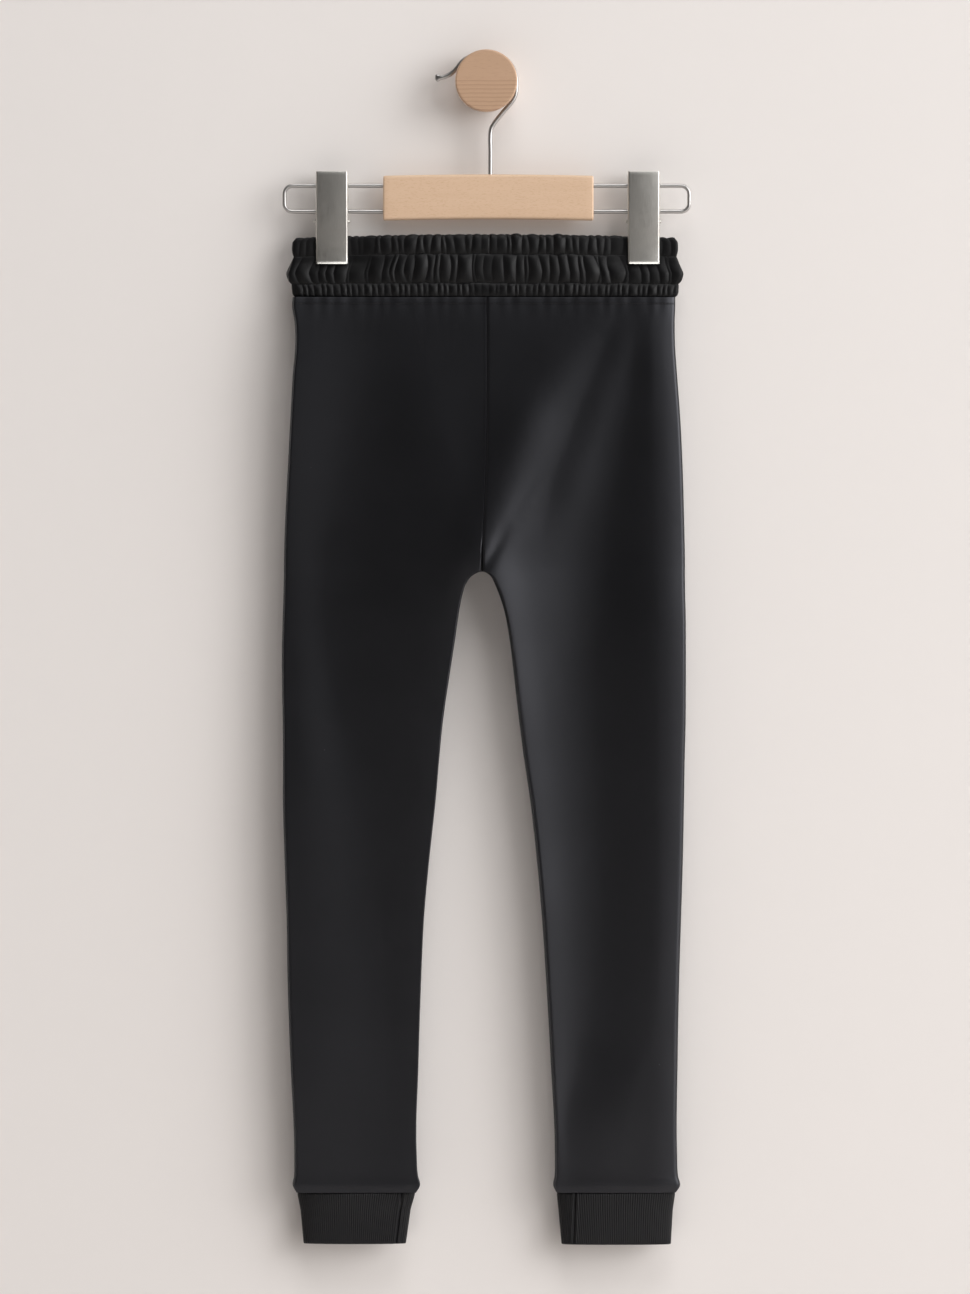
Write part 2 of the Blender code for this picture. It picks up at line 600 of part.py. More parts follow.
def smooth_route(points, steps=3):
    """Points along a smooth curve through the given ones."""
    ends = [points[0], *points, points[-1]]
    route = []
    for before, start, end, after in zip(ends, ends[1:], ends[2:], ends[3:]):
        for step in range(steps):
            t = step / steps
            weights = (
                0.5 * (-t + 2.0 * t ** 2 - t ** 3),
                0.5 * (2.0 - 5.0 * t ** 2 + 3.0 * t ** 3),
                0.5 * (t + 4.0 * t ** 2 - 3.0 * t ** 3),
                0.5 * (-t ** 2 + t ** 3),
            )
            four = (before, start, end, after)
            route.append(tuple(sum(w * p[axis] for w, p in zip(weights, four)) for axis in (0, 1)))
    route.append(points[-1])
    return route


def add_hook(steel):
    """Adds the hook: a stem out of the block, a bend over the peg's neck and a free end."""
    block_top = BLOCK_CENTRE_Z + BLOCK_HEIGHT / 2.0 + BLOCK_BOW
    stem = (HOOK_STEM_X, block_top - HOOK_DEPTH_IN_BLOCK)
    over_peg = corner_arc(0.0, 0.0, 0.0, HOOK_WRAP_ANGLE, HOOK_BEND_RADIUS, steps=6)
    route = [stem, *smooth_route([*HOOK_UPPER_BEND, *over_peg, *HOOK_FREE_END], steps=2)]
    return add_wire("hook", route, HOOK_RADIUS, steel)


def add_cutter(name, centre, axis_rotation, radius, depth):
    """Adds a hidden cylinder that drills a hole."""
    bpy.ops.mesh.primitive_cylinder_add(
        vertices=12, radius=radius * MM, depth=depth * MM,
        location=[value * MM for value in centre], rotation=axis_rotation)
    cutter = bpy.context.active_object
    cutter.name = name
    cutter.hide_render = True
    cutter.display_type = "WIRE"
    return cutter


def add_block(wood):
    """Adds the bowed wooden block with its drilled holes."""
    shape = bmesh.new()
    bmesh.ops.create_cube(shape, size=1.0)
    long_edges = [edge for edge in shape.edges if abs(edge.verts[0].co.x - edge.verts[1].co.x) > 0.5]
    bmesh.ops.subdivide_edges(shape, edges=long_edges, cuts=7)
    for vertex in shape.verts:
        along = 2.0 * vertex.co.x
        vertex.co.x = (BLOCK_CENTRE_X + vertex.co.x * BLOCK_LENGTH) * MM
        vertex.co.y = (HANGING_Y + vertex.co.y * BLOCK_THICKNESS) * MM
        bow = BLOCK_BOW * (1.0 - along ** 2)
        vertex.co.z = (BLOCK_CENTRE_Z + vertex.co.z * BLOCK_HEIGHT + bow) * MM
    mesh = bpy.data.meshes.new("hanger_block")
    shape.to_mesh(mesh)
    shape.free()
    mesh.shade_smooth()
    block = bpy.data.objects.new("hanger_block", mesh)
    block.data.materials.append(wood)
    bpy.context.collection.objects.link(block)

    rounding = block.modifiers.new("rounded_edges", "BEVEL")
    rounding.width = BLOCK_EDGE_ROUND * MM
    rounding.segments = 2
    rounding.limit_method = "ANGLE"
    rounding.angle_limit = math.radians(40.0)

    quarter = math.pi / 2.0
    hole_radius = WIRE_RADIUS + SEAM_GAP
    hole_length = 2.0 * (WIRE_DEPTH_IN_BLOCK + SEAM_GAP)
    cutters = []
    for sign in (-1.0, 1.0):
        end_x = BLOCK_CENTRE_X + sign * BLOCK_LENGTH / 2.0
        for z in (WIRE_TOP_Z, WIRE_BOTTOM_Z):
            centre = (end_x, HANGING_Y, z)
            cutters.append(add_cutter("wire_hole", centre, (0.0, quarter, 0.0), hole_radius, hole_length))
    block_top = BLOCK_CENTRE_Z + BLOCK_HEIGHT / 2.0 + BLOCK_BOW
    hook_hole_depth = 2.0 * (HOOK_DEPTH_IN_BLOCK + SEAM_GAP)
    centre = (HOOK_STEM_X, HANGING_Y, block_top)
    cutters.append(add_cutter("hook_hole", centre, (0.0, 0.0, 0.0), HOOK_RADIUS + SEAM_GAP, hook_hole_depth))
    for cutter in cutters:
        drill = block.modifiers.new("drill", "BOOLEAN")
        drill.operation = "DIFFERENCE"
        drill.solver = "EXACT"
        drill.object = cutter


def add_clip_channel(side, face, steel):
    """Adds one channel of a clip: a face plate with two flanges turned towards the wires."""
    sign = float(face)
    width = CLIP_HALF_WIDTH
    points = []
    for station in CLIP_STATIONS:
        outline = (
            (-width, station.flange), (-width, station.face - CLIP_BEND),
            (-width + CLIP_BEND, station.face), (width - CLIP_BEND, station.face),
            (width, station.face - CLIP_BEND), (width, station.flange),
            (width - CLIP_SHEET, station.flange), (width - CLIP_SHEET, station.face - CLIP_SHEET),
            (-width + CLIP_SHEET, station.face - CLIP_SHEET), (-width + CLIP_SHEET, station.flange),
        )
        for x, out in outline:
            points.append((CLIP_CENTRE_X[side] + x, HANGING_Y + sign * out, station.z))
    name = f"clip_{side}_{'front' if face == BACK else 'back'}_channel"
    add_solid(name, points, loft_faces(len(CLIP_STATIONS), 10), steel)


def add_clip_pin(side, steel):
    """Adds the pin on which the two channels rock."""
    reach = CLIP_HALF_WIDTH + CLIP_PIN_STAND_OUT
    bpy.ops.mesh.primitive_cylinder_add(
        vertices=12, radius=WIRE_RADIUS * MM, depth=2.0 * reach * MM,
        location=(CLIP_CENTRE_X[side] * MM, HANGING_Y * MM, CLIP_PIN_Z * MM),
        rotation=(0.0, math.pi / 2.0, 0.0))
    pin = bpy.context.active_object
    pin.name = f"clip_{side}_pin"
    pin.data.materials.append(steel)


def main():
    clear_scene()
    fleece = make_material("black_fleece", (0.014, 0.014, 0.016), 0.9)
    satin = make_material("black_satin", (0.016, 0.016, 0.018), 0.55)
    rib = make_material("black_rib", (0.018, 0.018, 0.020), 0.9)
    beech = make_material("beech", (0.62, 0.44, 0.28), 0.5)
    peg_wood = make_material("oiled_wood", (0.45, 0.30, 0.19), 0.5)
    chrome = make_material("chrome", (0.80, 0.80, 0.80), 0.12, 1.0)
    brushed = make_material("brushed_steel", (0.42, 0.41, 0.39), 0.38, 1.0)

    add_peg(peg_wood)
    add_hook(chrome)
    add_block(beech)
    for side in ("left", "right"):
        add_wire_loop(side, chrome)
        add_clip_channel(side, BACK, brushed)
        add_clip_channel(side, FRONT, brushed)
        add_clip_pin(side, brushed)
    add_waistband(satin)
    for side in ("left", "right"):
        for face in (BACK, FRONT):
            add_panel(side, face, fleece)
        add_cuff(side, rib)


main()
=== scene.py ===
"""Black joggers on a clip hanger, hung from a round wooden wall peg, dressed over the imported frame."""
import math
from collections import namedtuple

import bmesh
import bpy
import numpy as np
from mathutils import Matrix, Vector


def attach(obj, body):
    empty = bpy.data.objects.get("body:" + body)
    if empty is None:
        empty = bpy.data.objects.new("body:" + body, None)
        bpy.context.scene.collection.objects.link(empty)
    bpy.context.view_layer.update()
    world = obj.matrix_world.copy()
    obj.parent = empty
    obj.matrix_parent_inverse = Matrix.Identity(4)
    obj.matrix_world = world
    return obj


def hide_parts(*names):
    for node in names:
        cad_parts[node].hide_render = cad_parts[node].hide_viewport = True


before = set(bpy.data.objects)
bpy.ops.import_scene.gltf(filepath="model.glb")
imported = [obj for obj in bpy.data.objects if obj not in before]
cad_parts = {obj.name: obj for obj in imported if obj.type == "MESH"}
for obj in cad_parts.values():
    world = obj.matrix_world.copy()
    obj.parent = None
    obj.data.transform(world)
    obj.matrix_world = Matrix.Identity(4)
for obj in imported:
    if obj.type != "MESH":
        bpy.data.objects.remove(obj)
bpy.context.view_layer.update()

# The view: a long lens square on to the wall, level with the middle of the picture, which takes in
# 1.126 m of height at the plane in which the joggers hang. Sizes in this file are in millimetres.
MM = 0.001
HANGING_Y = -20
VIEW_CENTRE_X = -1.1
VIEW_CENTRE_Z = -491.8
VIEW_DISTANCE = 6000
VIEW_HEIGHT = 1125.8


def add_object(name, data):
    """A new object in the scene."""
    added = bpy.data.objects.new(name, data)
    bpy.context.collection.objects.link(added)
    return added


camera = add_object("camera", bpy.data.cameras.new("camera"))
camera.data.lens = camera.data.sensor_width * VIEW_DISTANCE / VIEW_HEIGHT
camera.data.clip_end = 10 * VIEW_DISTANCE * MM
camera.location = (VIEW_CENTRE_X * MM, (HANGING_Y - VIEW_DISTANCE) * MM, VIEW_CENTRE_Z * MM)
camera.rotation_euler = (math.radians(90), 0, 0)
bpy.context.scene.camera = camera
bpy.context.scene.view_settings.view_transform = "Standard"


# Wall peg: a thick disc on a short round neck, turned from one piece of oak and oiled. Its face is
# cut along the grain, so the growth rings cross its lower half as thin level lines.
PEG_SIDES = 96
NECK_RADIUS = 23.8
DISC_RADIUS = 27
DISC_BACK_Y = -26
DISC_FRONT_Y = -36
DISC_BACK_ROUND = 1
DISC_FRONT_ROUND = 1.5
GROWTH_RING = 3.6
RINGS_START_Z = 3.5
RINGS_FULL_Z = -1
PORE_LENGTH = 6
PORES_PER_METRE = 2200
OAK_EARLY = "#b19277"
OAK_LATE = "#8a6850"
OAK_PALE = "#b7977d"


def linear(hex_colour):
    """An sRGB hex colour as the linear colour that a shader takes."""
    channels = [int(hex_colour[start:start + 2], 16) / 255 for start in (1, 3, 5)]
    return (*[c / 12.92 if c <= 0.04045 else ((c + 0.055) / 1.055) ** 2.4 for c in channels], 1)


def set_values(node, settings):
    """Sets a node's properties, or its sockets' values. A hex colour is turned to linear."""
    for key, value in settings.items():
        if isinstance(key, str) and hasattr(node, key):
            setattr(node, key, value)
        else:
            node.inputs[key].default_value = linear(value) if isinstance(value, str) else value


def start_material(name, settings):
    """A new material with values set on its shader. Returns it with its node tree and shader."""
    material = bpy.data.materials.new(name)
    material.use_nodes = True
    shader = material.node_tree.nodes["Principled BSDF"]
    set_values(shader, settings)
    return material, material.node_tree, shader


def link_all(node, links):
    """Links outputs to a node's sockets. A node given in place of an output means its first one."""
    for socket, source in links.items():
        output = source.outputs[0] if isinstance(source, bpy.types.Node) else source
        node.id_data.links.new(output, node.inputs[socket])


def add_node(tree, kind, settings=None, links=None):
    """Adds a node. Settings name its properties or sockets, and links give outputs to its sockets."""
    node = tree.nodes.new("ShaderNode" + kind)
    set_values(node, settings or {})
    link_all(node, links or {})
    return node


def finish_material(shader, colour, height, strength, depth, roughness=None):
    """Links a colour, a roughness and the relief of a height, its depth in millimetres."""
    relief = add_node(
        shader.id_data, "Bump", {"Strength": strength, "Distance": depth * MM}, {"Height": height})
    link_all(shader, {"Base Color": colour.outputs[2], "Normal": relief})
    if roughness:
        link_all(shader, {"Roughness": roughness})


def grid_quads(rows, columns, first=0, closed=True, ring=False):
    """Quads between rows of points.

    A closed grid joins the ends of each row, and a ring joins its last row to its first.
    """
    row, column = np.meshgrid(
        np.arange(rows if ring else rows - 1), np.arange(columns if closed else columns - 1),
        indexing="ij")
    below, beside = (row + 1) % rows, (column + 1) % columns
    corners = [row * columns + column, row * columns + beside,
               below * columns + beside, below * columns + column]
    return (first + np.stack(corners, axis=-1)).reshape(-1, 4).tolist()


def capped_rows(rows, columns):
    """Faces of a closed bar: quads between its rings and a cap on its first and last ring."""
    last = (rows - 1) * columns
    return grid_quads(rows, columns) + [list(range(columns)), list(range(last, last + columns))]


def add_piece(name, points, faces, material, slot, replaced=(), sharp_angle=40, uv=None):
    """Adds one closed piece, given in millimetres, that rides on the root body."""
    mesh = bpy.data.meshes.new(name)
    mesh.from_pydata((np.asarray(points, dtype=float) * MM).tolist(), [], faces)
    shape = bmesh.new()
    shape.from_mesh(mesh)
    bmesh.ops.recalc_face_normals(shape, faces=shape.faces)
    shape.to_mesh(mesh)
    shape.free()
    if uv is not None:
        corners = np.zeros(len(mesh.loops), dtype=np.int32)
        mesh.loops.foreach_get("vertex_index", corners)
        layer = mesh.uv_layers.new(name="cloth_metres")
        layer.data.foreach_set("uv", (np.asarray(uv) * MM)[corners].astype(np.float32).ravel())
    mesh.shade_smooth()
    mesh.set_sharp_from_angle(angle=math.radians(sharp_angle))
    mesh.materials.append(material)
    piece = add_object(name, mesh)
    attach(piece, "root")
    if replaced:
        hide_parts(*replaced)
    return piece


# Oiled oak: a satin surface, with pale early wood between thin dark late wood and short fine pores.
oak, tree, shader = start_material("oiled_oak", {"Roughness": 0.46, "IOR": 1.47})
place = add_node(tree, "TexCoord").outputs
parts = add_node(tree, "SeparateXYZ", links={0: place["Object"]}).outputs
drift_place = add_node(tree, "Mapping", {"Scale": (18, 18, 60)}, {"Vector": place["Object"]})
drift = add_node(tree, "TexNoise", {"Scale": 1, "Detail": 2}, {"Vector": drift_place})
# A wave band repeats every 2 pi / 20 of a unit at scale 1.
rings = add_node(
    tree, "TexWave",
    {"bands_direction": "Z", "wave_profile": "SAW", "Scale": math.pi / 10 / (GROWTH_RING * MM),
     "Distortion": 1.6, "Detail": 1.5, "Detail Scale": 0.25},
    {"Vector": place["Object"]})
late_wood = add_node(tree, "Math", {"operation": "POWER", 1: 5}, {0: rings.outputs["Fac"]})
lower_half = add_node(
    tree, "MapRange",
    {"From Min": RINGS_START_Z * MM, "From Max": RINGS_FULL_Z * MM, "To Min": 0.04, "To Max": 0.68},
    {"Value": parts["Z"]})
ring_share = add_node(tree, "Math", {"operation": "MULTIPLY"}, {0: late_wood, 1: lower_half})
pore_place = add_node(
    tree, "Mapping", {"Scale": (1 / (PORE_LENGTH * MM), PORES_PER_METRE, PORES_PER_METRE)},
    {"Vector": place["Object"]})
pores = add_node(tree, "TexNoise", {"Scale": 1, "Detail": 3}, {"Vector": pore_place})
ground = add_node(tree, "Mix", {"data_type": "RGBA", 6: OAK_EARLY, 7: OAK_PALE}, {0: drift})
ringed = add_node(
    tree, "Mix", {"data_type": "RGBA", 7: OAK_LATE}, {0: ring_share, 6: ground.outputs[2]})
pore_share = add_node(
    tree, "MapRange", {"From Min": 0.56, "From Max": 0.75, "To Max": 0.35}, {"Value": pores})
toned = add_node(
    tree, "Mix", {"data_type": "RGBA", 7: OAK_LATE}, {0: pore_share, 6: ringed.outputs[2]})
finish_material(shader, toned, pores, strength=0.5, depth=0.05)

# The profile that the lathe turns, as (radius, y) from the wall to the middle of the face.
rounding = np.radians([0, 22.5, 45, 67.5, 90])
profile = [
    (8, 0), (NECK_RADIUS + 0.8, 0), (NECK_RADIUS + 0.1, -9), (NECK_RADIUS, -14),
    (NECK_RADIUS, DISC_BACK_Y + 0.2), (NECK_RADIUS + 0.2, DISC_BACK_Y)]
profile += [
    (DISC_RADIUS - DISC_BACK_ROUND * (1 - math.sin(turn)),
     DISC_BACK_Y - 0.4 - DISC_BACK_ROUND * (1 - math.cos(turn))) for turn in rounding]
profile += [
    (DISC_RADIUS - DISC_FRONT_ROUND * (1 - math.cos(turn)),
     DISC_FRONT_Y + DISC_FRONT_ROUND * (1 - math.sin(turn))) for turn in rounding]
profile += [(DISC_RADIUS - DISC_FRONT_ROUND - 0.6, DISC_FRONT_Y), (12, DISC_FRONT_Y)]
around = np.linspace(0, 2 * math.pi, PEG_SIDES, endpoint=False)
peg_points = np.concatenate([
    np.column_stack([radius * np.cos(around), np.full(PEG_SIDES, y), radius * np.sin(around)])
    for radius, y in profile])
add_piece(
    "wall_peg_turned", peg_points, capped_rows(len(profile), PEG_SIDES), oak, "peg_wood", ["wall_peg"])


# Hook: one 4 mm wire, bent cold and chrome plated. It is driven into the top of the block, cranks
# over to the peg's axis, lies on the peg's neck and ends in a short free tail with a spread tip.
HOOK_RADIUS = 2
HOOK_SIDES = 20
HOOK_STEM = ((3.5, -94.9), (3.5, -84), (3.5, -72))
HOOK_UPPER_BEND = ((3.5, -60), (3.5, -44.5), (6.3, -37), (14.6, -26.4), (21.8, -18), (25.6, -10.5))
HOOK_BEND_RADIUS = 26.1
HOOK_FREE_END = (
    (-18.8, 19.4), (-22.4, 16.2), (-25, 12.8), (-28.2, 9.2), (-32.4, 6), (-37.4, 4), (-42.6, 3.2))
TIP_LENGTH = 4
TIP_SPREAD = 1.7
TIP_FLATTEN = 0.5


def smooth_line(points, steps):
    """Points along a smooth curve through the given ones."""
    points = np.asarray(points, dtype=float)
    ends = np.concatenate([points[:1], points, points[-1:]])
    t = np.linspace(0, 1, steps, endpoint=False)[:, None]
    curve = [
        0.5 * (2 * start + (end - before) * t + (2 * before - 5 * start + 4 * end - after) * t ** 2
               + (3 * start - before - 3 * end + after) * t ** 3)
        for before, start, end, after in zip(ends, ends[1:], ends[2:], ends[3:])]
    return np.concatenate([*curve, points[-1:]])


def round_bar(route, radius, sides, flatten=None):
    """Points and faces of a round bar along a route of (x, y, z) points, with domed ends.

    flatten gives for each route point how far the bar is spread across the wall's plane and pressed
    towards it.
    """
    route = np.asarray(route, dtype=float)
    along = np.gradient(route, axis=0)
    along /= np.linalg.norm(along, axis=1, keepdims=True)
    across = np.cross(along, (0, 1, 0))
    across /= np.linalg.norm(across, axis=1, keepdims=True)
    outward = np.cross(across, along)
    size = np.ones((len(route), 2)) if flatten is None else flatten
    turn = np.linspace(0, 2 * math.pi, sides, endpoint=False)[:, None]
    domes = np.radians([18, 42, 66])
    rings = [(0, -math.cos(dome), math.sin(dome)) for dome in domes]
    rings += [(index, 0, 1) for index in range(len(route))]
    rings += [(len(route) - 1, math.cos(dome), math.sin(dome)) for dome in domes[::-1]]
    points = []
    for index, shift, scale in rings:
        ring = (np.cos(turn) * across[index] * size[index, 0]
                + np.sin(turn) * outward[index] * size[index, 1])
        points.append(route[index] + along[index] * shift * radius + ring * radius * scale)
    return np.concatenate(points), capped_rows(len(rings), sides)


# Chrome plate: a bright grey metal, its mirror softened to a satin by handling marks.
chrome, tree, shader = start_material(
    "chrome_plate", {"Base Color": "#b2b0ae", "Metallic": 1, "Roughness": 0.34})
place = add_node(tree, "TexCoord").outputs
marks = add_node(tree, "TexNoise", {"Scale": 260, "Detail": 4}, {"Vector": place["Object"]})
polish = add_node(
    tree, "MapRange", {"From Min": 0.3, "From Max": 0.75, "To Min": 0.3, "To Max": 0.42},
    {"Value": marks})
link_all(shader, {"Roughness": polish})

over_peg = [
    (HOOK_BEND_RADIUS * math.cos(angle), HOOK_BEND_RADIUS * math.sin(angle))
    for angle in np.radians(np.arange(0, 121, 12))]
hook_line = smooth_line([*HOOK_STEM, *HOOK_UPPER_BEND, *over_peg, *HOOK_FREE_END], 6)
hook_route = np.column_stack([hook_line[:, 0], np.full(len(hook_line), HANGING_Y), hook_line[:, 1]])
from_tip = np.linalg.norm(hook_route - hook_route[-1], axis=1)
tip_share = np.clip(1 - from_tip / TIP_LENGTH, 0, 1) ** 1.5
hook_shape = np.column_stack([1 + (TIP_SPREAD - 1) * tip_share, 1 - (1 - TIP_FLATTEN) * tip_share])
add_piece(
    "hook_wire", *round_bar(hook_route, HOOK_RADIUS, HOOK_SIDES, hook_shape), chrome, "wire", ["hook"])


# Hanger block: a bar of solid beech, a little bowed, with rounded edges, drilled at both ends for the
# wires and in its top for the hook, then lacquered clear.
BLOCK_CENTRE_X = 1.8
BLOCK_CENTRE_Z = -101.4
BLOCK_LENGTH = 183
BLOCK_HEIGHT = 38.6
BLOCK_THICKNESS = 14
BLOCK_BOW = 1.2
BLOCK_EDGE_ROUND = 2.6
BLOCK_END_ROUND = 1.6
WIRE_RADIUS = 1.8
WIRE_Z = (-90.6, -113)
DRILL_SIDES = 24
DRILL_CLEARANCE = 0.3
WIRE_HOLE_DEPTH = 16.3
HOOK_HOLE_DEPTH = 14.3
FLECK_LENGTH = 2.6
BEECH_PALE = "#d4b89e"
BEECH_WARM = "#c7a88a"
BEECH_FLECK = "#b28d6a"


def rounded_rectangle(half_width, half_height, radius, steps=6):
    """Points round a rectangle with rounded corners."""
    return np.array([
        (sign_x * (half_width - radius) + radius * math.cos(angle),
         sign_z * (half_height - radius) + radius * math.sin(angle))
        for sign_x, sign_z, start in ((1, 1, 0), (-1, 1, 90), (-1, -1, 180), (1, -1, 270))
        for angle in np.radians(np.linspace(start, start + 90, steps + 1))])


# Lacquered beech: even and pale, with short brown flecks along the grain and slow bands of tone.
beech, tree, shader = start_material("lacquered_beech", {"Roughness": 0.42, "IOR": 1.5})
place = add_node(tree, "TexCoord").outputs
long_grain = add_node(tree, "Mapping", {"Scale": (9, 60, 130)}, {"Vector": place["Object"]})
bands = add_node(
    tree, "TexNoise", {"Scale": 1, "Detail": 4, "Roughness": 0.6}, {"Vector": long_grain})
fleck_place = add_node(
    tree, "Mapping", {"Scale": (1 / (FLECK_LENGTH * MM), 1500, 1900)}, {"Vector": place["Object"]})
flecks = add_node(tree, "TexNoise", {"Scale": 1, "Detail": 2}, {"Vector": fleck_place})
fleck_share = add_node(
    tree, "MapRange", {"From Min": 0.55, "From Max": 0.72, "To Max": 0.45}, {"Value": flecks})
ground = add_node(tree, "Mix", {"data_type": "RGBA", 6: BEECH_PALE, 7: BEECH_WARM}, {0: bands})
toned = add_node(
    tree, "Mix", {"data_type": "RGBA", 7: BEECH_FLECK},
    {0: fleck_share, 6: ground.outputs[2]})
finish_material(shader, toned, flecks, strength=0.35, depth=0.04)

half_length = BLOCK_LENGTH / 2
from_end = BLOCK_END_ROUND * (1 - np.cos(np.radians([0, 18, 36, 54, 72, 90])))
block_x = np.concatenate([
    from_end - half_length, np.linspace(-half_length, half_length, 27)[1:-1],
    half_length - from_end[::-1]])
block_points = []
for x in block_x:
    end_gap = min(BLOCK_END_ROUND, half_length - abs(x))
    inset = BLOCK_END_ROUND - math.sqrt(BLOCK_END_ROUND ** 2 - (BLOCK_END_ROUND - end_gap) ** 2)
    outline = rounded_rectangle(
        BLOCK_THICKNESS / 2 - inset, BLOCK_HEIGHT / 2 - inset, BLOCK_EDGE_ROUND)
    bow = BLOCK_BOW * (1 - (x / half_length) ** 2)
    block_points.append(np.column_stack([
        np.full(len(outline), BLOCK_CENTRE_X + x), HANGING_Y + outline[:, 0],
        BLOCK_CENTRE_Z + bow + outline[:, 1]]))
block = add_piece(
    "hanger_block_beech", np.concatenate(block_points), capped_rows(len(block_x), len(outline)), beech,
    "block_wood", ["hanger_block"])

# Each hole: its place on the block's face, the radius of its wire, its depth and the drill's turn.
holes = [
    (BLOCK_CENTRE_X + sign * half_length, z, WIRE_RADIUS, WIRE_HOLE_DEPTH, math.pi / 2)
    for sign in (-1, 1) for z in WIRE_Z]
holes.append((HOOK_STEM[0][0], BLOCK_CENTRE_Z + BLOCK_BOW + BLOCK_HEIGHT / 2, HOOK_RADIUS,
              HOOK_HOLE_DEPTH, 0))
drills = bmesh.new()
for x, z, wire, depth, turn in holes:
    width = (wire + DRILL_CLEARANCE) * MM
    bit = bmesh.ops.create_cone(
        drills, cap_ends=True, segments=DRILL_SIDES, radius1=width, radius2=width,
        depth=2 * depth * MM)["verts"]
    bmesh.ops.rotate(drills, verts=bit, matrix=Matrix.Rotation(turn, 3, "Y"))
    bmesh.ops.translate(drills, verts=bit, vec=(x * MM, HANGING_Y * MM, z * MM))
drill_mesh = bpy.data.meshes.new("drills")
drills.to_mesh(drill_mesh)
drills.free()
drill = add_object("drills", drill_mesh)
cut = block.modifiers.new("holes", "BOOLEAN")
cut.operation = "DIFFERENCE"
cut.solver = "EXACT"
cut.object = drill
bpy.context.view_layer.update()
drilled = bpy.data.meshes.new_from_object(
    block.evaluated_get(bpy.context.evaluated_depsgraph_get()))
block.modifiers.clear()
block.data = drilled
bpy.data.objects.remove(drill)


# Wire loops: 3.6 mm chromed wire bent into a long U at each end of the block, its two ends pushed
# into the drilled holes, so that the clips can slide along it.
SIDES = {"left": -1, "right": 1}
WIRE_END_X = {"left": -175.7, "right": 176.5}
WIRE_CORNER_RADIUS = 7
WIRE_DEPTH_IN_BLOCK = 14
WIRE_SIDES = 18
for side, sign in SIDES.items():
    corner_x = WIRE_END_X[side] - sign * WIRE_CORNER_RADIUS
    straight = np.linspace(
        BLOCK_CENTRE_X + sign * (half_length - WIRE_DEPTH_IN_BLOCK), corner_x, 12, endpoint=False)
    top, bottom = WIRE_Z
    route = [(x, HANGING_Y, top) for x in straight]
    for centre_z, start in ((top - WIRE_CORNER_RADIUS, 90), (bottom + WIRE_CORNER_RADIUS, 0)):
        for angle in np.radians(np.linspace(start, start - 90, 9)):
            route.append((corner_x + sign * WIRE_CORNER_RADIUS * math.cos(angle), HANGING_Y,
                          centre_z + WIRE_CORNER_RADIUS * math.sin(angle)))
    route += [(x, HANGING_Y, bottom) for x in straight[::-1]]
    add_piece(
        f"wire_loop_{side}_bent", *round_bar(route, WIRE_RADIUS, WIRE_SIDES), chrome, "wire",
        [f"wire_loop_{side}"])


# Trouser clips: on each wire loop, a front and a back channel pressed from 1.2 mm steel, which rock on
# a pin and pinch the waistband. The front face is brushed up and down.
CLIP_CENTRE_X = {"left": -134.2, "right": 136.9}
CLIP_TURN = {"left": 0, "right": 2.5}
CLIP_HALF_WIDTH = 13.9
CLIP_SHEET = 1.2
CLIP_BEND = 1.7
CLIP_EDGE_BREAK = 0.14
CLIP_PIN_Z = -121.6
CLIP_PIN_REACH = 13.9
BRUSH_PITCH = 0.35
# Down the channel: height, how far its face stands out, and how far its flanges do.
CLIP_STATIONS = (
    (-78.5, 8.6, 3.6), (-79.4, 8.9, 3), (-82, 9.2, 2.1), (-104, 8.35, 2.1),
    (-127, 7.4, 2.1), (-129.5, 7.15, 2.9), (-132, 6.9, 3.8), (-144, 6.2, 3.8),
    (-155.4, 5.52, 3.8), (-156.6, 5.65, 3.9), (-157.8, 6.05, 4.3), (-158.8, 6.6, 4.7),
)

# Brushed nickelled steel: a grey, slightly warm satin metal with fine upright brush lines.
steel, tree, shader = start_material("brushed_steel", {"Metallic": 1, "Roughness": 0.36})
place = add_node(tree, "TexCoord").outputs
stroke = add_node(
    tree, "Mapping", {"Scale": (1 / (BRUSH_PITCH * MM), 1 / (BRUSH_PITCH * MM), 30)},
    {"Vector": place["Object"]})
lines = add_node(tree, "TexNoise", {"Scale": 1, "Detail": 3, "Roughness": 0.7}, {"Vector": stroke})
tint = add_node(tree, "Mix", {"data_type": "RGBA", 6: "#acaaa4", 7: "#c8c6c1"}, {0: lines})
rough = add_node(
    tree, "MapRange", {"From Min": 0.3, "From Max": 0.7, "To Min": 0.3, "To Max": 0.46},
    {"Value": lines})
finish_material(shader, tint, lines, strength=0.25, depth=0.03, roughness=rough)


def channel_outline(face, flange):
    """A channel's outline in plan: its outer skin from flange to flange, then its inner skin back."""
    outer, inner = [(CLIP_HALF_WIDTH, flange)], [(CLIP_HALF_WIDTH - CLIP_SHEET, flange)]
    for angle in np.radians(np.linspace(0, 90, 6)):
        for line, radius in ((outer, CLIP_BEND), (inner, CLIP_BEND - CLIP_SHEET)):
            line.append((CLIP_HALF_WIDTH - CLIP_BEND + radius * math.cos(angle),
                         face - CLIP_BEND + radius * math.sin(angle)))
    far_outer, far_inner = ([(-x, out) for x, out in line] for line in (outer, inner))
    return outer + far_outer[::-1] + far_inner + inner[::-1]


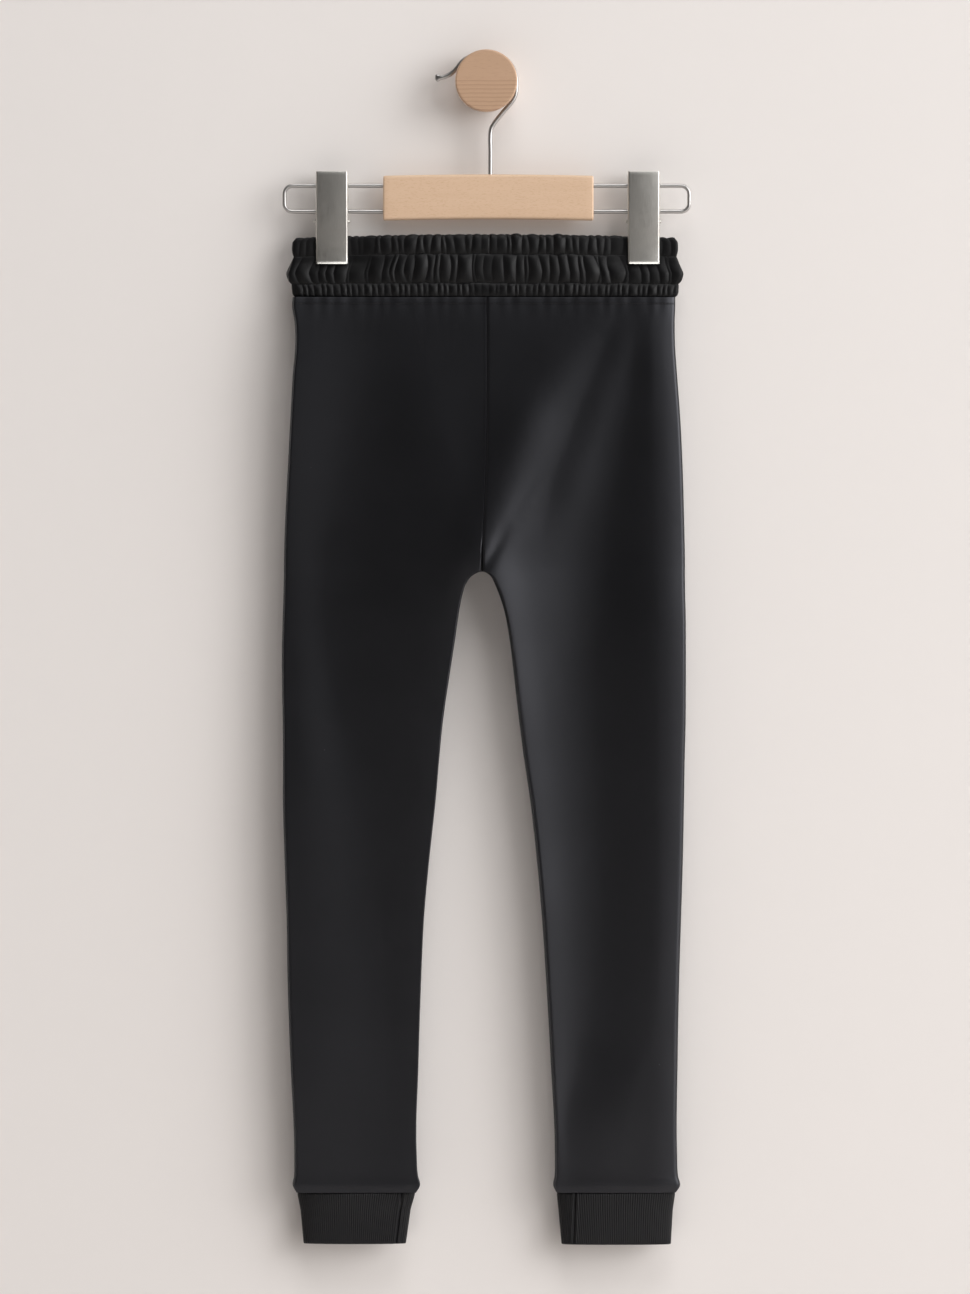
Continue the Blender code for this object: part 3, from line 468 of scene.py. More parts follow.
for side in SIDES:
    lean = math.tan(math.radians(CLIP_TURN[side]))
    for sign, name in ((-1, "front"), (1, "back")):
        rows = [
            [(CLIP_CENTRE_X[side] + x, HANGING_Y + sign * out + lean * x, z)
             for x, out in channel_outline(face, flange)] for z, face, flange in CLIP_STATIONS]
        channel = add_piece(
            f"clip_{side}_{name}_pressed", np.concatenate(rows), capped_rows(len(rows), len(rows[0])),
            steel, "clip_steel", [f"clip_{side}_{name}_channel"], sharp_angle=30)
        edges = channel.modifiers.new("broken_edges", "BEVEL")
        edges.width = CLIP_EDGE_BREAK * MM
        edges.segments = 2
        edges.limit_method = "ANGLE"
        edges.angle_limit = math.radians(50)
    pin_route = [
        (CLIP_CENTRE_X[side] + x, HANGING_Y, CLIP_PIN_Z) for x in (-CLIP_PIN_REACH, 0, CLIP_PIN_REACH)]
    add_piece(
        f"clip_{side}_pin_riveted", *round_bar(pin_route, WIRE_RADIUS, WIRE_SIDES), steel,
        "clip_steel", [f"clip_{side}_pin"])


# Waistband: satin-faced woven cloth folded over elastic, sewn into a tube and stitched through twice,
# so that it gathers in three channels. The clips press it flat at both ends.
BAND_CENTRE_X = -1.1
BAND_HALF_WIDTH = 166.4
BAND_HALF_DEPTH = 6.8
BAND_PINCHED_HALF_DEPTH = 2.9
BAND_SQUARENESS = 6
BAND_WALL = 2.6
BAND_CROWN = 3.2
BAND_TOP_Z = -137.4
BAND_BOTTOM_Z = -187.4
BAND_COLUMNS = 1280
BAND_INNER_ROWS = 12
BAND_RIM_STEPS = 4
BAND_PINCH_FADE = 30
BAND_SEAM_X = 3
BAND_SEAM_FLAT = 14
BAND_SEAM_DIP = 0.8
BAND_SEAM_WIDTH = 0.7
PUFF_HEIGHT = (0.55, 1.15)
PUFF_MEAN = 0.62
SWELL_ROUNDNESS = 0.55
SHARE_AT_STITCHES = 0.22
SHARE_LOST_AT_SEAM = 0.6
SHARE_LOST_UNDER_CLIP = 0.72
SHARE_INSIDE = 0.45
SCALLOP = 1.1
SCALLOP_MEAN = 0.6
SCALLOP_FADE = 4
STITCH_DIP = 1
STITCH_WANDER = 0.6
WANDER_REACH = 4
# Up the band: height, how far it spreads over its half width, and how far the clips press it.
BAND_EDGE = np.array([
    (-187.4, -0.2, 0), (-185, 0.8, 0.1), (-181, 1, 0.2), (-176.3, 2.4, 0.3),
    (-173.5, 4, 0.4), (-167, 5.2, 0.55), (-158, 2, 1), (-152.5, 0.4, 1),
    (-147, 1, 1), (-139.6, 1, 1), (-137.4, -0.5, 1),
])
Channel = namedtuple("Channel", "top bottom rows pitch uneven gather bulge lean bow roundness")
CHANNELS = (
    Channel(-137.4, -152.5, 15, 7.4, 0.3, 1.5, 1, 2.4, 1, 0.9),
    Channel(-152.5, -176.3, 22, 7.8, 0.42, 1.9, 1.4, 1.6, 2.8, 0.75),
    Channel(-176.3, -187.4, 12, 5.7, 0.24, 1.2, 0.7, 0.6, 0.4, 0.85),
)

# Satin-faced polyester: black, with a low sheen on the crests of the gathers and a fine close weave.
SATIN_THREAD = 0.34
satin, tree, shader = start_material(
    "black_satin_weave", {"Roughness": 0.44, "Specular IOR Level": 0.18, "Sheen Weight": 0.01,
                          "Sheen Roughness": 0.4, "Sheen Tint": "#8c8f96"})
place = add_node(tree, "TexCoord").outputs
weave_place = add_node(
    tree, "Mapping", {"Scale": (1 / (SATIN_THREAD * MM), 1 / (SATIN_THREAD * MM), 1)},
    {"Vector": place["UV"]})
weave = add_node(
    tree, "TexBrick", {"Scale": 1, "Mortar Size": 0.12, "Brick Width": 2.4, "Row Height": 0.6},
    {"Vector": weave_place})
wear = add_node(tree, "TexNoise", {"Scale": 70, "Detail": 5}, {"Vector": place["Object"]})
tint = add_node(tree, "Mix", {"data_type": "RGBA", 6: "#070708", 7: "#0e0e0f"}, {0: wear})
rough = add_node(
    tree, "MapRange", {"From Min": 0.3, "From Max": 0.7, "To Min": 0.38, "To Max": 0.52},
    {"Value": wear})
finish_material(shader, tint, weave.outputs["Fac"], strength=0.16, depth=0.04, roughness=rough)


def flat_tube(half_width, half_depth, squareness, count):
    """Even steps round a flattened tube in plan: x, y, outward x and y, and the way round.

    half_depth is a function of x, so that a clip can press the tube flat at one place.
    """
    turn = np.linspace(0, 2 * math.pi, 4001)
    x = half_width * np.cos(turn)
    rise = (1 - np.abs(np.cos(turn)) ** squareness).clip(0, 1) ** (1 / squareness)
    y = half_depth(x) * rise * np.where(turn < math.pi, -1, 1)
    length = np.concatenate([[0], np.cumsum(np.hypot(np.diff(x), np.diff(y)))])
    steps = np.linspace(0, length[-1], count, endpoint=False)
    x, y = np.interp(steps, length, x), np.interp(steps, length, y)
    along_x, along_y = (np.roll(line, -2) - np.roll(line, 2) for line in (x, y))
    size = np.hypot(along_x, along_y)
    return x, y, -along_y / size, along_x / size, steps


def clip_nearness(x):
    """1 under a clip, fading to 0 beside it."""
    nearness = np.zeros_like(x)
    for centre in CLIP_CENTRE_X.values():
        beside = (np.abs(x + BAND_CENTRE_X - centre) - CLIP_HALF_WIDTH - 1).clip(0)
        nearness = np.maximum(nearness, np.exp(-((beside / BAND_PINCH_FADE) ** 2)))
    return nearness


def gather_channel(girth, channel, seed):
    """Uneven gathers round a channel: puffs between sharp valleys, some leaning, some lens-shaped.

    Returns a function that gives the puffs' height, 0 to about 1, at a way round and a share down.
    """
    chance = np.random.default_rng(seed)
    count = round(girth / channel.pitch)
    even = np.arange(count) + chance.uniform(-channel.uneven, channel.uneven, count)
    valleys = np.sort(even) * girth / count
    height = chance.uniform(*PUFF_HEIGHT, count)
    lean = chance.uniform(-channel.lean, channel.lean, count)
    bow = chance.uniform(-channel.bow, channel.bow, count)

    def rise(way, down):
        knots = valleys + lean * (down - 0.5) + bow * (math.sin(math.pi * down) - 0.6)
        knots = np.sort(np.concatenate([knots[-1:] - girth, knots, knots[:1] + girth]))
        place = np.clip(np.searchsorted(knots, way % girth) - 1, 0, count)
        width = np.maximum(knots[place + 1] - knots[place], 0.4)
        share = ((way % girth - knots[place]) / width).clip(0, 1)
        puff = np.sin(math.pi * share) ** channel.roundness
        return puff * height[(place - 1) % count] * (width / (girth / count)).clip(0.3, 1.6) ** 0.7

    return rise


band_girth = 4 * BAND_HALF_WIDTH + 4 * BAND_HALF_DEPTH
gathers = [gather_channel(band_girth, channel, seed) for seed, channel in enumerate(CHANNELS, 11)]
wander_ways = np.linspace(0, band_girth, 96)
wander_rises = np.random.default_rng(17).uniform(-STITCH_WANDER, STITCH_WANDER, len(wander_ways))
wander_rises[-1] = wander_rises[0]


def band_row(z, number, down, inset=0):
    """Points of one row of the band's cloth and its way round.

    The outline, drawn in by inset, is pushed out by the channel's bulge and gathers.
    """
    channel = CHANNELS[number]
    spread, pinch = (np.interp(z, BAND_EDGE[:, 0], BAND_EDGE[:, column]) for column in (1, 2))

    def depth(x):
        pressed = pinch * clip_nearness(x)
        return BAND_HALF_DEPTH + (BAND_PINCHED_HALF_DEPTH - BAND_HALF_DEPTH) * pressed - inset

    x, y, out_x, out_y, way = flat_tube(
        BAND_HALF_WIDTH + spread - inset, depth, BAND_SQUARENESS, BAND_COLUMNS)
    way = way * band_girth / (way[-1] + way[1])
    swell = math.sin(math.pi * min(1, max(0, down))) ** SWELL_ROUNDNESS
    from_seam = x + BAND_CENTRE_X - BAND_SEAM_X
    in_seam = (y < 0) * np.exp(-(from_seam / BAND_SEAM_FLAT) ** 6)
    gather = gathers[number](way, down)
    strength = SHARE_AT_STITCHES + (1 - SHARE_AT_STITCHES) * swell
    strength *= 1 - SHARE_LOST_AT_SEAM * in_seam
    push = channel.bulge * swell - STITCH_DIP * (1 - swell)
    push += channel.gather * (gather - PUFF_MEAN) * strength
    push *= 1 - SHARE_LOST_UNDER_CLIP * pinch * clip_nearness(x)
    scallop = 0
    if number == 0:
        push -= BAND_SEAM_DIP * (y < 0) * np.exp(-(from_seam / BAND_SEAM_WIDTH) ** 2)
        scallop = SCALLOP * (gather - SCALLOP_MEAN) * max(0, 1 - down * SCALLOP_FADE)
    push *= -SHARE_INSIDE if inset else 1
    fade = (z - BAND_BOTTOM_Z) / (BAND_TOP_Z - BAND_BOTTOM_Z)
    crown = BAND_CROWN * fade * (1 - (x / BAND_HALF_WIDTH) ** 2).clip(0)
    near_stitching = sum(math.exp(-((z - row.bottom) / WANDER_REACH) ** 2) for row in CHANNELS[:2])
    wander = near_stitching * np.interp(way % band_girth, wander_ways, wander_rises)
    height = z + crown + scallop + wander
    points = [x + BAND_CENTRE_X + out_x * push, HANGING_Y + y + out_y * push, height]
    return np.column_stack(points), way


def add_tube(name, rows, material, slot, node):
    """Adds a tube of cloth from rows of points, each with its way round and its way down the cloth."""
    uv = np.concatenate([np.column_stack([way, way * 0 + down]) for _, way, down in rows])
    points = np.concatenate([row[0] for row in rows])
    faces = grid_quads(len(rows), len(rows[0][0]), ring=True)
    return add_piece(name, points, faces, material, slot, [node], sharp_angle=80, uv=uv)


band_rows = []
for number, channel in enumerate(CHANNELS):
    for step in range(channel.rows):
        share = 0.5 * (1 - math.cos(math.pi * step / channel.rows))
        z = channel.top + (channel.bottom - channel.top) * share
        band_rows.append((*band_row(z, number, share), z))
band_rows.append((*band_row(BAND_BOTTOM_Z, 2, 1), BAND_BOTTOM_Z))
for z in np.linspace(BAND_BOTTOM_Z, BAND_TOP_Z, BAND_INNER_ROWS):
    number = next(index for index, channel in enumerate(CHANNELS) if z >= channel.bottom - 0.01)
    channel = CHANNELS[number]
    share = (channel.top - z) / (channel.top - channel.bottom)
    band_rows.append((*band_row(z, number, share, BAND_WALL), 2 * BAND_BOTTOM_Z - z))
inner_rim, (outer_rim, rim_way, _) = band_rows[-1][0], band_rows[0]
for step in range(1, BAND_RIM_STEPS):
    turn = math.pi * step / BAND_RIM_STEPS
    points = inner_rim + (outer_rim - inner_rim) * 0.5 * (1 - math.cos(turn))
    points[:, 2] += 0.5 * BAND_WALL * math.sin(turn)
    down = 2 * BAND_BOTTOM_Z - BAND_TOP_Z + step * BAND_WALL / BAND_RIM_STEPS
    band_rows.append((points, rim_way, down))
waistband = add_tube("waistband_gathered", band_rows, satin, "satin", "waistband")


# Body and legs: four panels of black cotton fleece, a back and a front for each leg, sewn together
# down the sides, the centre and the inside legs. They hang flat, with soft folds from seat to hips.
SEAM_GAP = 0.1
PANEL_WALL = 1.6
PANEL_COLUMNS = 70
EDGE_COLUMNS = 7
EDGE_SHARE = 0.02
SIDE_ROUND = 2.4
INNER_ROUND = {"left": 0.8, "right": 2.6}
ROUNDNESS = 2.4
SIDE_FALL_START = 26
SIDE_FALL = {"left": 0, "right": 0.0042}
WAIST_Z = -187.7
CROTCH_Z = -426.2
HEM_Z = -965.8
CROTCH_CURVE = 30
BACK = -1
FRONT = 1
# Down the joggers: height, the left leg's side and inner edge, the right leg's inner edge and side,
# and the half depth.
SIDE_COLUMN = {"left": 1, "right": 4}
INNER_COLUMN = {"left": 2, "right": 3}
DEPTH_COLUMN = 5
SECTIONS = (
    (WAIST_Z, -168.4, 0, 0, 164.4, 7),
    (-196, -168.8, 0, 0, 164.4, 8.2),
    (-208, -166.8, 0.2, 0.2, 164, 9.6),
    (-228, -166, 0.2, 0.2, 164.2, 11),
    (-255, -168.2, 0.3, 0.3, 166, 12),
    (-290, -170.2, 0.2, 0.2, 168.6, 12.6),
    (-335, -172.5, -0.8, -0.8, 170.8, 13),
    (-375, -174.6, -2.4, -2.4, 172, 13),
    (-402, -175.6, -3.8, -3.8, 172.6, 13),
    (-413, -175.9, -4.1, -4.1, 172.8, 13),
    (-421, -176, -4.2, -4.2, 172.8, 13),
    (CROTCH_Z, -176, -4.2, -4.2, 172.8, 13),
    (-427.6, -176, -8.8, 0.6, 172.8, 13),
    (-431, -176, -13.4, 4.4, 172.8, 13),
    (-437.5, -176.2, -17.9, 7.6, 172.9, 13),
    (-446.5, -176.4, -20.7, 11.3, 173, 13),
    (-461.7, -176.8, -23.7, 16, 173.4, 13),
    (-486, -177.6, -27.2, 20.4, 173.6, 12.9),
    (-521, -177.6, -32.6, 24.6, 173.6, 12.7),
    (-556, -177, -37.6, 28.6, 173.4, 12.5),
    (-590, -176.8, -41, 33, 172.6, 12.3),
    (-625, -176.8, -44, 38.2, 172, 12.1),
    (-677, -175.4, -49.6, 44, 171, 11.7),
    (-729, -173.6, -54.2, 48.6, 169.4, 11.3),
    (-781, -172.8, -56.6, 52, 167.8, 11),
    (-855, -170.2, -59, 56.2, 166.4, 10.7),
    (-930, -167, -60.6, 59.6, 166, 10.7),
    (-952, -167.2, -59.4, 59.4, 166.9, 10.9),
    (-960.7, -168.1, -57.8, 58.4, 168.4, 11.1),
    (HEM_Z, -165.2, -60.8, 60.8, 165.2, 10.8),
)

# Broad form of the back. Down it: height, then a crest by the centre or the inside leg, a trough,
# and a ridge by the side seam, each with its place across and its height over the half depth.
BACK_FORM = {
    "left": (
        (WAIST_Z, -40, 0, -90, 0, -184, 3),
        (-250, -44, 1.6, -98, 0.4, -190, 6),
        (-303, -34, 3.6, -112, -0.8, -190, 4.6),
        (-355, -16, 6, -126, -1.4, -184, 2.2),
        (-407, -6, 8.8, -138, -1.8, -176, 0.3),
        (-451, -24, 8, -140, -1.8, -172, -0.4),
        (-503, -34, 6.8, -134, -1.6, -168, 0.4),
        (-555, -42, 5.4, -124, -1.2, -166, 1.4),
        (-625, -50, 3.8, -108, -0.6, -164, 2.8),
        (-694, -54, 2.8, -98, -0.2, -162, 3),
        (-764, -56, 2, -92, 0, -160, 3),
        (-880, -60, 0.8, -86, 0, -156, 2.6),
        (HEM_Z, -66, 0.2, -90, 0, -152, 0.8),
    ),
    "right": (
        (WAIST_Z, 50, 0, 124, 0, 146, 0),
        (-250, 44, 1.6, 124, -1.2, 146, 0),
        (-303, 26, 3.6, 116, -1.8, 146, 0.4),
        (-355, 8, 6, 107, -1.8, 148, 1.6),
        (-407, -6, 9, 98, -1.4, 148, 3),
        (-451, 2, 10, 94, -0.2, 149, 6),
        (-503, 9, 9, 90, -0.2, 150, 7.2),
        (-555, 17, 6.6, 92, -0.6, 151, 7.2),
        (-625, 27, 5.6, 95, -0.8, 152, 6.8),
        (-694, 34, 5, 97, -0.6, 153, 6.4),
        (-764, 40, 4.6, 96, -0.4, 153, 5.8),
        (-834, 45, 3.8, 88, 0, 146, 4.4),
        (-903, 50, 2.4, 72, 0.4, 122, 3.2),
        (HEM_Z, 58, 0.2, 78, 0, 120, 0.6),
    ),
}

# Folds on that form, each from a first to a second point: x, z, the height of the ridge, or of a
# trough where it is negative, and the width of its left and right slope.
FOLDS = (
    (BACK, (-3.9, -397, 3.9, 22, 26), (31.9, -299, 2.8, 26, 29)),
    (BACK, (31.9, -299, 2.6, 26, 29), (90.2, -214, 1.2, 24, 22)),
    (BACK, (80, -338, 1.1, 18, 18), (114, -232, 0.9, 14, 14)),
    (BACK, (1, -440, 3.8, 14, 24), (17, -540, 2.9, 12, 23)),
    (BACK, (17, -540, 2.9, 12, 23), (37, -700, 2.2, 12, 22)),
    (BACK, (37, -700, 2.2, 12, 22), (49, -900, 1.6, 12, 20)),
    (BACK, (2, -404, 1.1, 5, 4), (14.6, -375, 0.3, 6, 6)),
    (BACK, (8, -406, -1, 4, 5), (20, -384, -0.2, 6, 6)),
    (FRONT, (-10, -404, 2.4, 20, 20), (-54, -270, 1.6, 22, 22)),
    (FRONT, (14, -398, 2.2, 22, 22), (62, -250, 1.4, 20, 20)),
    (FRONT, (-34, -450, 2.8, 36, 36), (-66, -800, 1.4, 22, 22)),
    (FRONT, (28, -450, 2.6, 38, 38), (62, -780, 1.6, 22, 22)),
    (FRONT, (-146, -300, 1.2, 14, 14), (-144, -840, 1.2, 14, 14)),
    (FRONT, (144, -340, 1.2, 14, 14), (140, -900, 1.2, 14, 14)),
)
FOLD_END_FADE = 45
SEAM_ROLL = 0.8
SEAM_ROLL_WIDTH = 1.3
SEAM_EDGE_HEIGHT = 0.08
SEAM_EDGE_PLACE = 1
SEAM_EDGE_WIDTH = 0.9
PUCKER_DROP = 12
PUCKER_PITCH = 13
PUCKER_SHIFT = 3.2
PUCKER_HEIGHT = 0.19
WAIST_ROLL = 0.12
WAIST_ROLL_WIDTH = 0.8
ALLOWANCE_HEIGHT = (0.1, 0.7)
ALLOWANCE_DROP = 6.1
ALLOWANCE_EDGE = 1.1

# Cotton fleece with a plain knitted face: matt black, a soft nap that catches light at a slant, fine
# upright columns of stitches and a few pale flecks of lint.
WALE = 0.95
COURSE = 0.75
fleece, tree, shader = start_material(
    "black_cotton_fleece", {"Specular IOR Level": 0.55, "Specular Tint": "#eceef8"})
place = add_node(tree, "TexCoord").outputs
knit_place = add_node(
    tree, "Mapping", {"Scale": (math.pi / (WALE * MM), 2 * math.pi / (COURSE * MM), 1)},
    {"Vector": place["UV"]})
parts = add_node(tree, "SeparateXYZ", links={0: knit_place}).outputs
wale = add_node(tree, "Math", {"operation": "SINE"}, {0: parts["X"]})
wale_round = add_node(tree, "Math", {"operation": "ABSOLUTE"}, {0: wale})
slant = add_node(tree, "Math", {"operation": "MULTIPLY_ADD", 1: 1.6}, {0: wale_round, 2: parts["Y"]})
course = add_node(tree, "Math", {"operation": "SINE"}, {0: slant})
stitch = add_node(tree, "Math", {"operation": "MULTIPLY_ADD", 1: 0.3}, {0: course, 2: wale_round})
fuzz = add_node(
    tree, "TexNoise", {"Scale": 900, "Detail": 4, "Roughness": 0.7}, {"Vector": place["Object"]})
broad = add_node(tree, "TexNoise", {"Scale": 22, "Detail": 4}, {"Vector": place["Object"]})
nap = add_node(tree, "Math", {"operation": "MULTIPLY_ADD", 1: 1.4}, {0: fuzz, 2: stitch})
mottle = add_node(tree, "Math", {"operation": "MULTIPLY"}, {0: fuzz, 1: broad})
tint_share = add_node(tree, "MapRange", {"From Min": 0.15, "From Max": 0.4}, {"Value": mottle})
tint = add_node(tree, "Mix", {"data_type": "RGBA", 6: "#050506", 7: "#0b0b0d"}, {0: tint_share})
lint_cells = add_node(
    tree, "TexVoronoi", {"Scale": 26, "Randomness": 1}, {"Vector": place["Object"]})
lint_share = add_node(
    tree, "MapRange", {"From Min": 0.012, "From Max": 0.008, "To Max": 0.35}, {"Value": lint_cells})
linted = add_node(
    tree, "Mix", {"data_type": "RGBA", 7: "#77777a"}, {0: lint_share, 6: tint.outputs[2]})
# The upright fibres scatter the light that passes along the cloth, so its edges don't shine.
lie = add_node(tree, "LayerWeight", {"Blend": 0.5})
fibre_scatter = add_node(
    tree, "MapRange", {"From Min": 0.3, "From Max": 0.75, "To Min": 0.36, "To Max": 1},
    {"Value": lie.outputs["Facing"]})
finish_material(shader, linted, nap, strength=0.14, depth=0.08, roughness=fibre_scatter)

section_table = np.array(SECTIONS)[::-1]


def smooth_value(at, places, values):
    """A value at any place, on a smooth curve through the given ones, whose places rise."""
    slopes = np.gradient(values, places)
    after = np.clip(np.searchsorted(places, at), 1, len(places) - 1)
    step = places[after] - places[after - 1]
    t = (at - places[after - 1]) / step
    return ((2 * t ** 3 - 3 * t ** 2 + 1) * values[after - 1]
            + (t ** 3 - 2 * t ** 2 + t) * step * slopes[after - 1]
            + (3 * t ** 2 - 2 * t ** 3) * values[after] + (t ** 3 - t ** 2) * step * slopes[after])


def from_table(z, column, table=section_table):
    """A column's value at any height, from a table whose rows rise."""
    return smooth_value(z, table[:, 0], table[:, column])


def inner_edge(z, column):
    """The inner edge: the centre seam to the crotch, then a round arch into the inside leg."""
    heights, values = section_table[:, 0], section_table[:, column]
    leg, body = heights <= CROTCH_Z, heights >= CROTCH_Z
    arch = smooth_value(
        np.sqrt((CROTCH_Z - z).clip(0)), np.sqrt(CROTCH_Z - heights[leg])[::-1], values[leg][::-1])
    return np.where(z < CROTCH_Z, arch, np.interp(z, heights[body], values[body]))


def soft_step(share):
    """0 to 1 with level ends."""
    share = share.clip(0, 1)
    return share * share * (3 - 2 * share)


def back_form(side, x, z):
    """Height of the back's broad form: a crest, then a trough, and up to the side's ridge."""
    table = np.array(BACK_FORM[side])[::-1]
    crest_x, crest, trough_x, trough, ridge_x, ridge = (
        from_table(z, column, table) for column in range(1, 7))
    fall = soft_step((x - crest_x) / (trough_x - crest_x))
    climb = soft_step((x - trough_x) / (ridge_x - trough_x))
    towards_side = (SIDE_FALL_START - np.abs(from_table(z, SIDE_COLUMN[side]) - x)).clip(0)
    return (crest + (trough - crest) * fall + (ridge - trough) * climb
            - SIDE_FALL[side] * towards_side ** 2)


def fold_height(face, x, z):
    """Height of the folds of one face, with ridges that meet running smoothly into each other."""
    ridges, troughs = np.zeros_like(x), np.zeros_like(x)
    for _, start, end in (fold for fold in FOLDS if fold[0] == face):
        run_x, run_z = end[0] - start[0], end[1] - start[1]
        length = math.hypot(run_x, run_z)
        run_x, run_z = run_x / length, run_z / length
        position = (x - start[0]) * run_x + (z - start[1]) * run_z
        beside = ((x - start[0]) * run_z - (z - start[1]) * run_x) * math.copysign(1, run_z)
        share = (position / length).clip(0, 1)
        peak, left, right = (
            first + (last - first) * share for first, last in zip(start[2:], end[2:]))
        beyond = np.maximum(-position, position - length).clip(0)
        width = np.where(beside < 0, left, right)
        height = peak * np.exp(-(beside / width) ** 2 - (beyond / FOLD_END_FADE) ** 2)
        ridges += height.clip(0) ** 3
        troughs += height.clip(None, 0)
    return np.cbrt(ridges) + troughs


def edge_rise(from_edge, width, opening):
    """Share of the half depth: the opening at the edge, rising to 1 over a rounding's width."""
    towards_edge = (1 - from_edge / width).clip(0, 1)
    closed = 1 - opening ** ROUNDNESS
    return (1 - closed * towards_edge ** ROUNDNESS).clip(0) ** (1 / ROUNDNESS)


# Rows lie close together at the waist, round the crotch's arch, where they follow its square root, and
# at the hem. Columns lie close together along both edges.
ARCH_ROOT = 7.6
panel_z = np.concatenate([
    np.linspace(WAIST_Z, -200, 14, endpoint=False),
    np.linspace(-200, -400, 70, endpoint=False),
    np.linspace(-400, CROTCH_Z, 14, endpoint=False),
    CROTCH_Z - np.linspace(0, ARCH_ROOT, 36, endpoint=False) ** 2,
    np.linspace(CROTCH_Z - ARCH_ROOT ** 2, -940, 130, endpoint=False),
    np.linspace(-940, HEM_Z, 26),
])
edge_shares = EDGE_SHARE * (np.arange(EDGE_COLUMNS) / EDGE_COLUMNS) ** 2
across = np.concatenate([
    edge_shares, np.linspace(EDGE_SHARE, 1 - EDGE_SHARE, PANEL_COLUMNS), 1 - edge_shares[::-1]])
pucker_chance = np.random.default_rng(5)
pucker_knots = np.arange(-200, 200, PUCKER_PITCH)
pucker_shift = pucker_chance.uniform(-PUCKER_SHIFT, PUCKER_SHIFT, len(pucker_knots))
allowance_height = pucker_chance.uniform(*ALLOWANCE_HEIGHT, len(pucker_knots))


def panel_outer(side, face, x_share, z_values):
    """Outer skin of a panel at shares across it and heights down it."""
    z = z_values[:, None] + np.zeros((1, len(x_share)))
    above = z >= CROTCH_Z
    inner_x = inner_edge(z, INNER_COLUMN[side]) + np.where(above, SIDES[side] * SEAM_GAP / 2, 0)
    side_x = from_table(z, SIDE_COLUMN[side])
    x = inner_x + (side_x - inner_x) * x_share[None, :]
    from_seam = np.abs(x - inner_x)
    down = ((CROTCH_Z + CROTCH_CURVE - z) / CROTCH_CURVE).clip(0, 1)
    rise = edge_rise(np.abs(side_x - x), SIDE_ROUND, 0)
    rise *= edge_rise(from_seam, INNER_ROUND[side], np.sqrt(1 - down ** 2))
    depth = from_table(z, DEPTH_COLUMN) + fold_height(face, x, z)
    if face == BACK:
        depth += back_form(side, x, z)

    # The waist seam puckers and rolls in a little, and its allowance stands out under the stitching.
    from_waist = WAIST_Z - z
    phase = np.interp(x, pucker_knots, pucker_knots + pucker_shift) / PUCKER_PITCH
    pucker = PUCKER_HEIGHT * np.sin(2 * math.pi * phase) * np.exp(-(from_waist / PUCKER_DROP) ** 2)
    waist_roll = WAIST_ROLL * np.exp(-(from_waist / WAIST_ROLL_WIDTH) ** 2)
    allowance = np.interp(x, pucker_knots, allowance_height)
    allowance *= soft_step((ALLOWANCE_DROP - from_waist) / ALLOWANCE_EDGE)
    relief = pucker * rise - waist_roll + allowance
    # The centre seam lies towards the right: that edge rolls in, and the left one stands up beside it.
    if side == "right":
        relief -= above * SEAM_ROLL * np.exp(-(from_seam / SEAM_ROLL_WIDTH) ** 2)
    else:
        stand = np.exp(-((from_seam - SEAM_EDGE_PLACE) / SEAM_EDGE_WIDTH) ** 2)
        relief += above * SEAM_EDGE_HEIGHT * stand
    return np.stack([x, HANGING_Y + face * (SEAM_GAP / 2 + (depth + relief) * rise), z], axis=-1)


def skin_normals(skin, side, face):
    """Outward directions, kept in the seam's plane along each edge."""
    normals = np.cross(np.gradient(skin, axis=1), np.gradient(skin, axis=0)) * SIDES[side] * face
    above = skin[:, 0, 2] > CROTCH_Z + 0.001
    normals[:, -1, 1] = 0
    normals[above, 0, 0] = 0
    normals[~above, 0, 1] = 0
    normals[np.argmin(np.abs(skin[:, 0, 2] - CROTCH_Z)), 0] = (0, 0, -1)
    normals[[0, -1], :, 2] = 0
    return normals / np.linalg.norm(normals, axis=2, keepdims=True)


for side in SIDES:
    for face, face_name in ((BACK, "back"), (FRONT, "front")):
        outer = panel_outer(side, face, across, panel_z)
        inner = outer - PANEL_WALL * skin_normals(outer, side, face)
        rows, columns = outer.shape[:2]
        count = rows * columns
        corner = np.arange(count).reshape(rows, columns)
        edge = np.concatenate([
            corner[:, 0], corner[-1, 1:], corner[-2::-1, -1], corner[0, -2:0:-1]])
        after = np.roll(edge, -1)
        faces = [
            quad for first in (0, count) for quad in grid_quads(rows, columns, first, closed=False)]
        faces += np.column_stack([edge, after, count + after, count + edge]).tolist()
        steps = np.linalg.norm(np.diff(outer, axis=1), axis=2)
        way = np.concatenate([np.zeros((rows, 1)), np.cumsum(steps, axis=1)], axis=1)
        skin_uv = np.stack([way, outer[:, :, 2]], axis=-1).reshape(-1, 2)
        panel = add_piece(
            f"{face_name}_{side}_panel_cloth", np.concatenate([outer, inner]).reshape(-1, 3), faces,
            fleece, "fleece", [f"{face_name}_{side}_panel"], sharp_angle=60,
            uv=np.concatenate([skin_uv, skin_uv]))


# Cuffs: each a folded tube of rib knit, narrower than the leg it is sewn to, with one upright seam
# towards the inside of the leg.
CUFF_WALL = 2.2
CUFF_SQUARENESS = {"left": 2.1, "right": 2.6}
CUFF_RIBS = 108
POINTS_PER_RIB = 8
RIB_HEIGHT = 0.42
CUFF_HEM_STEPS = 6
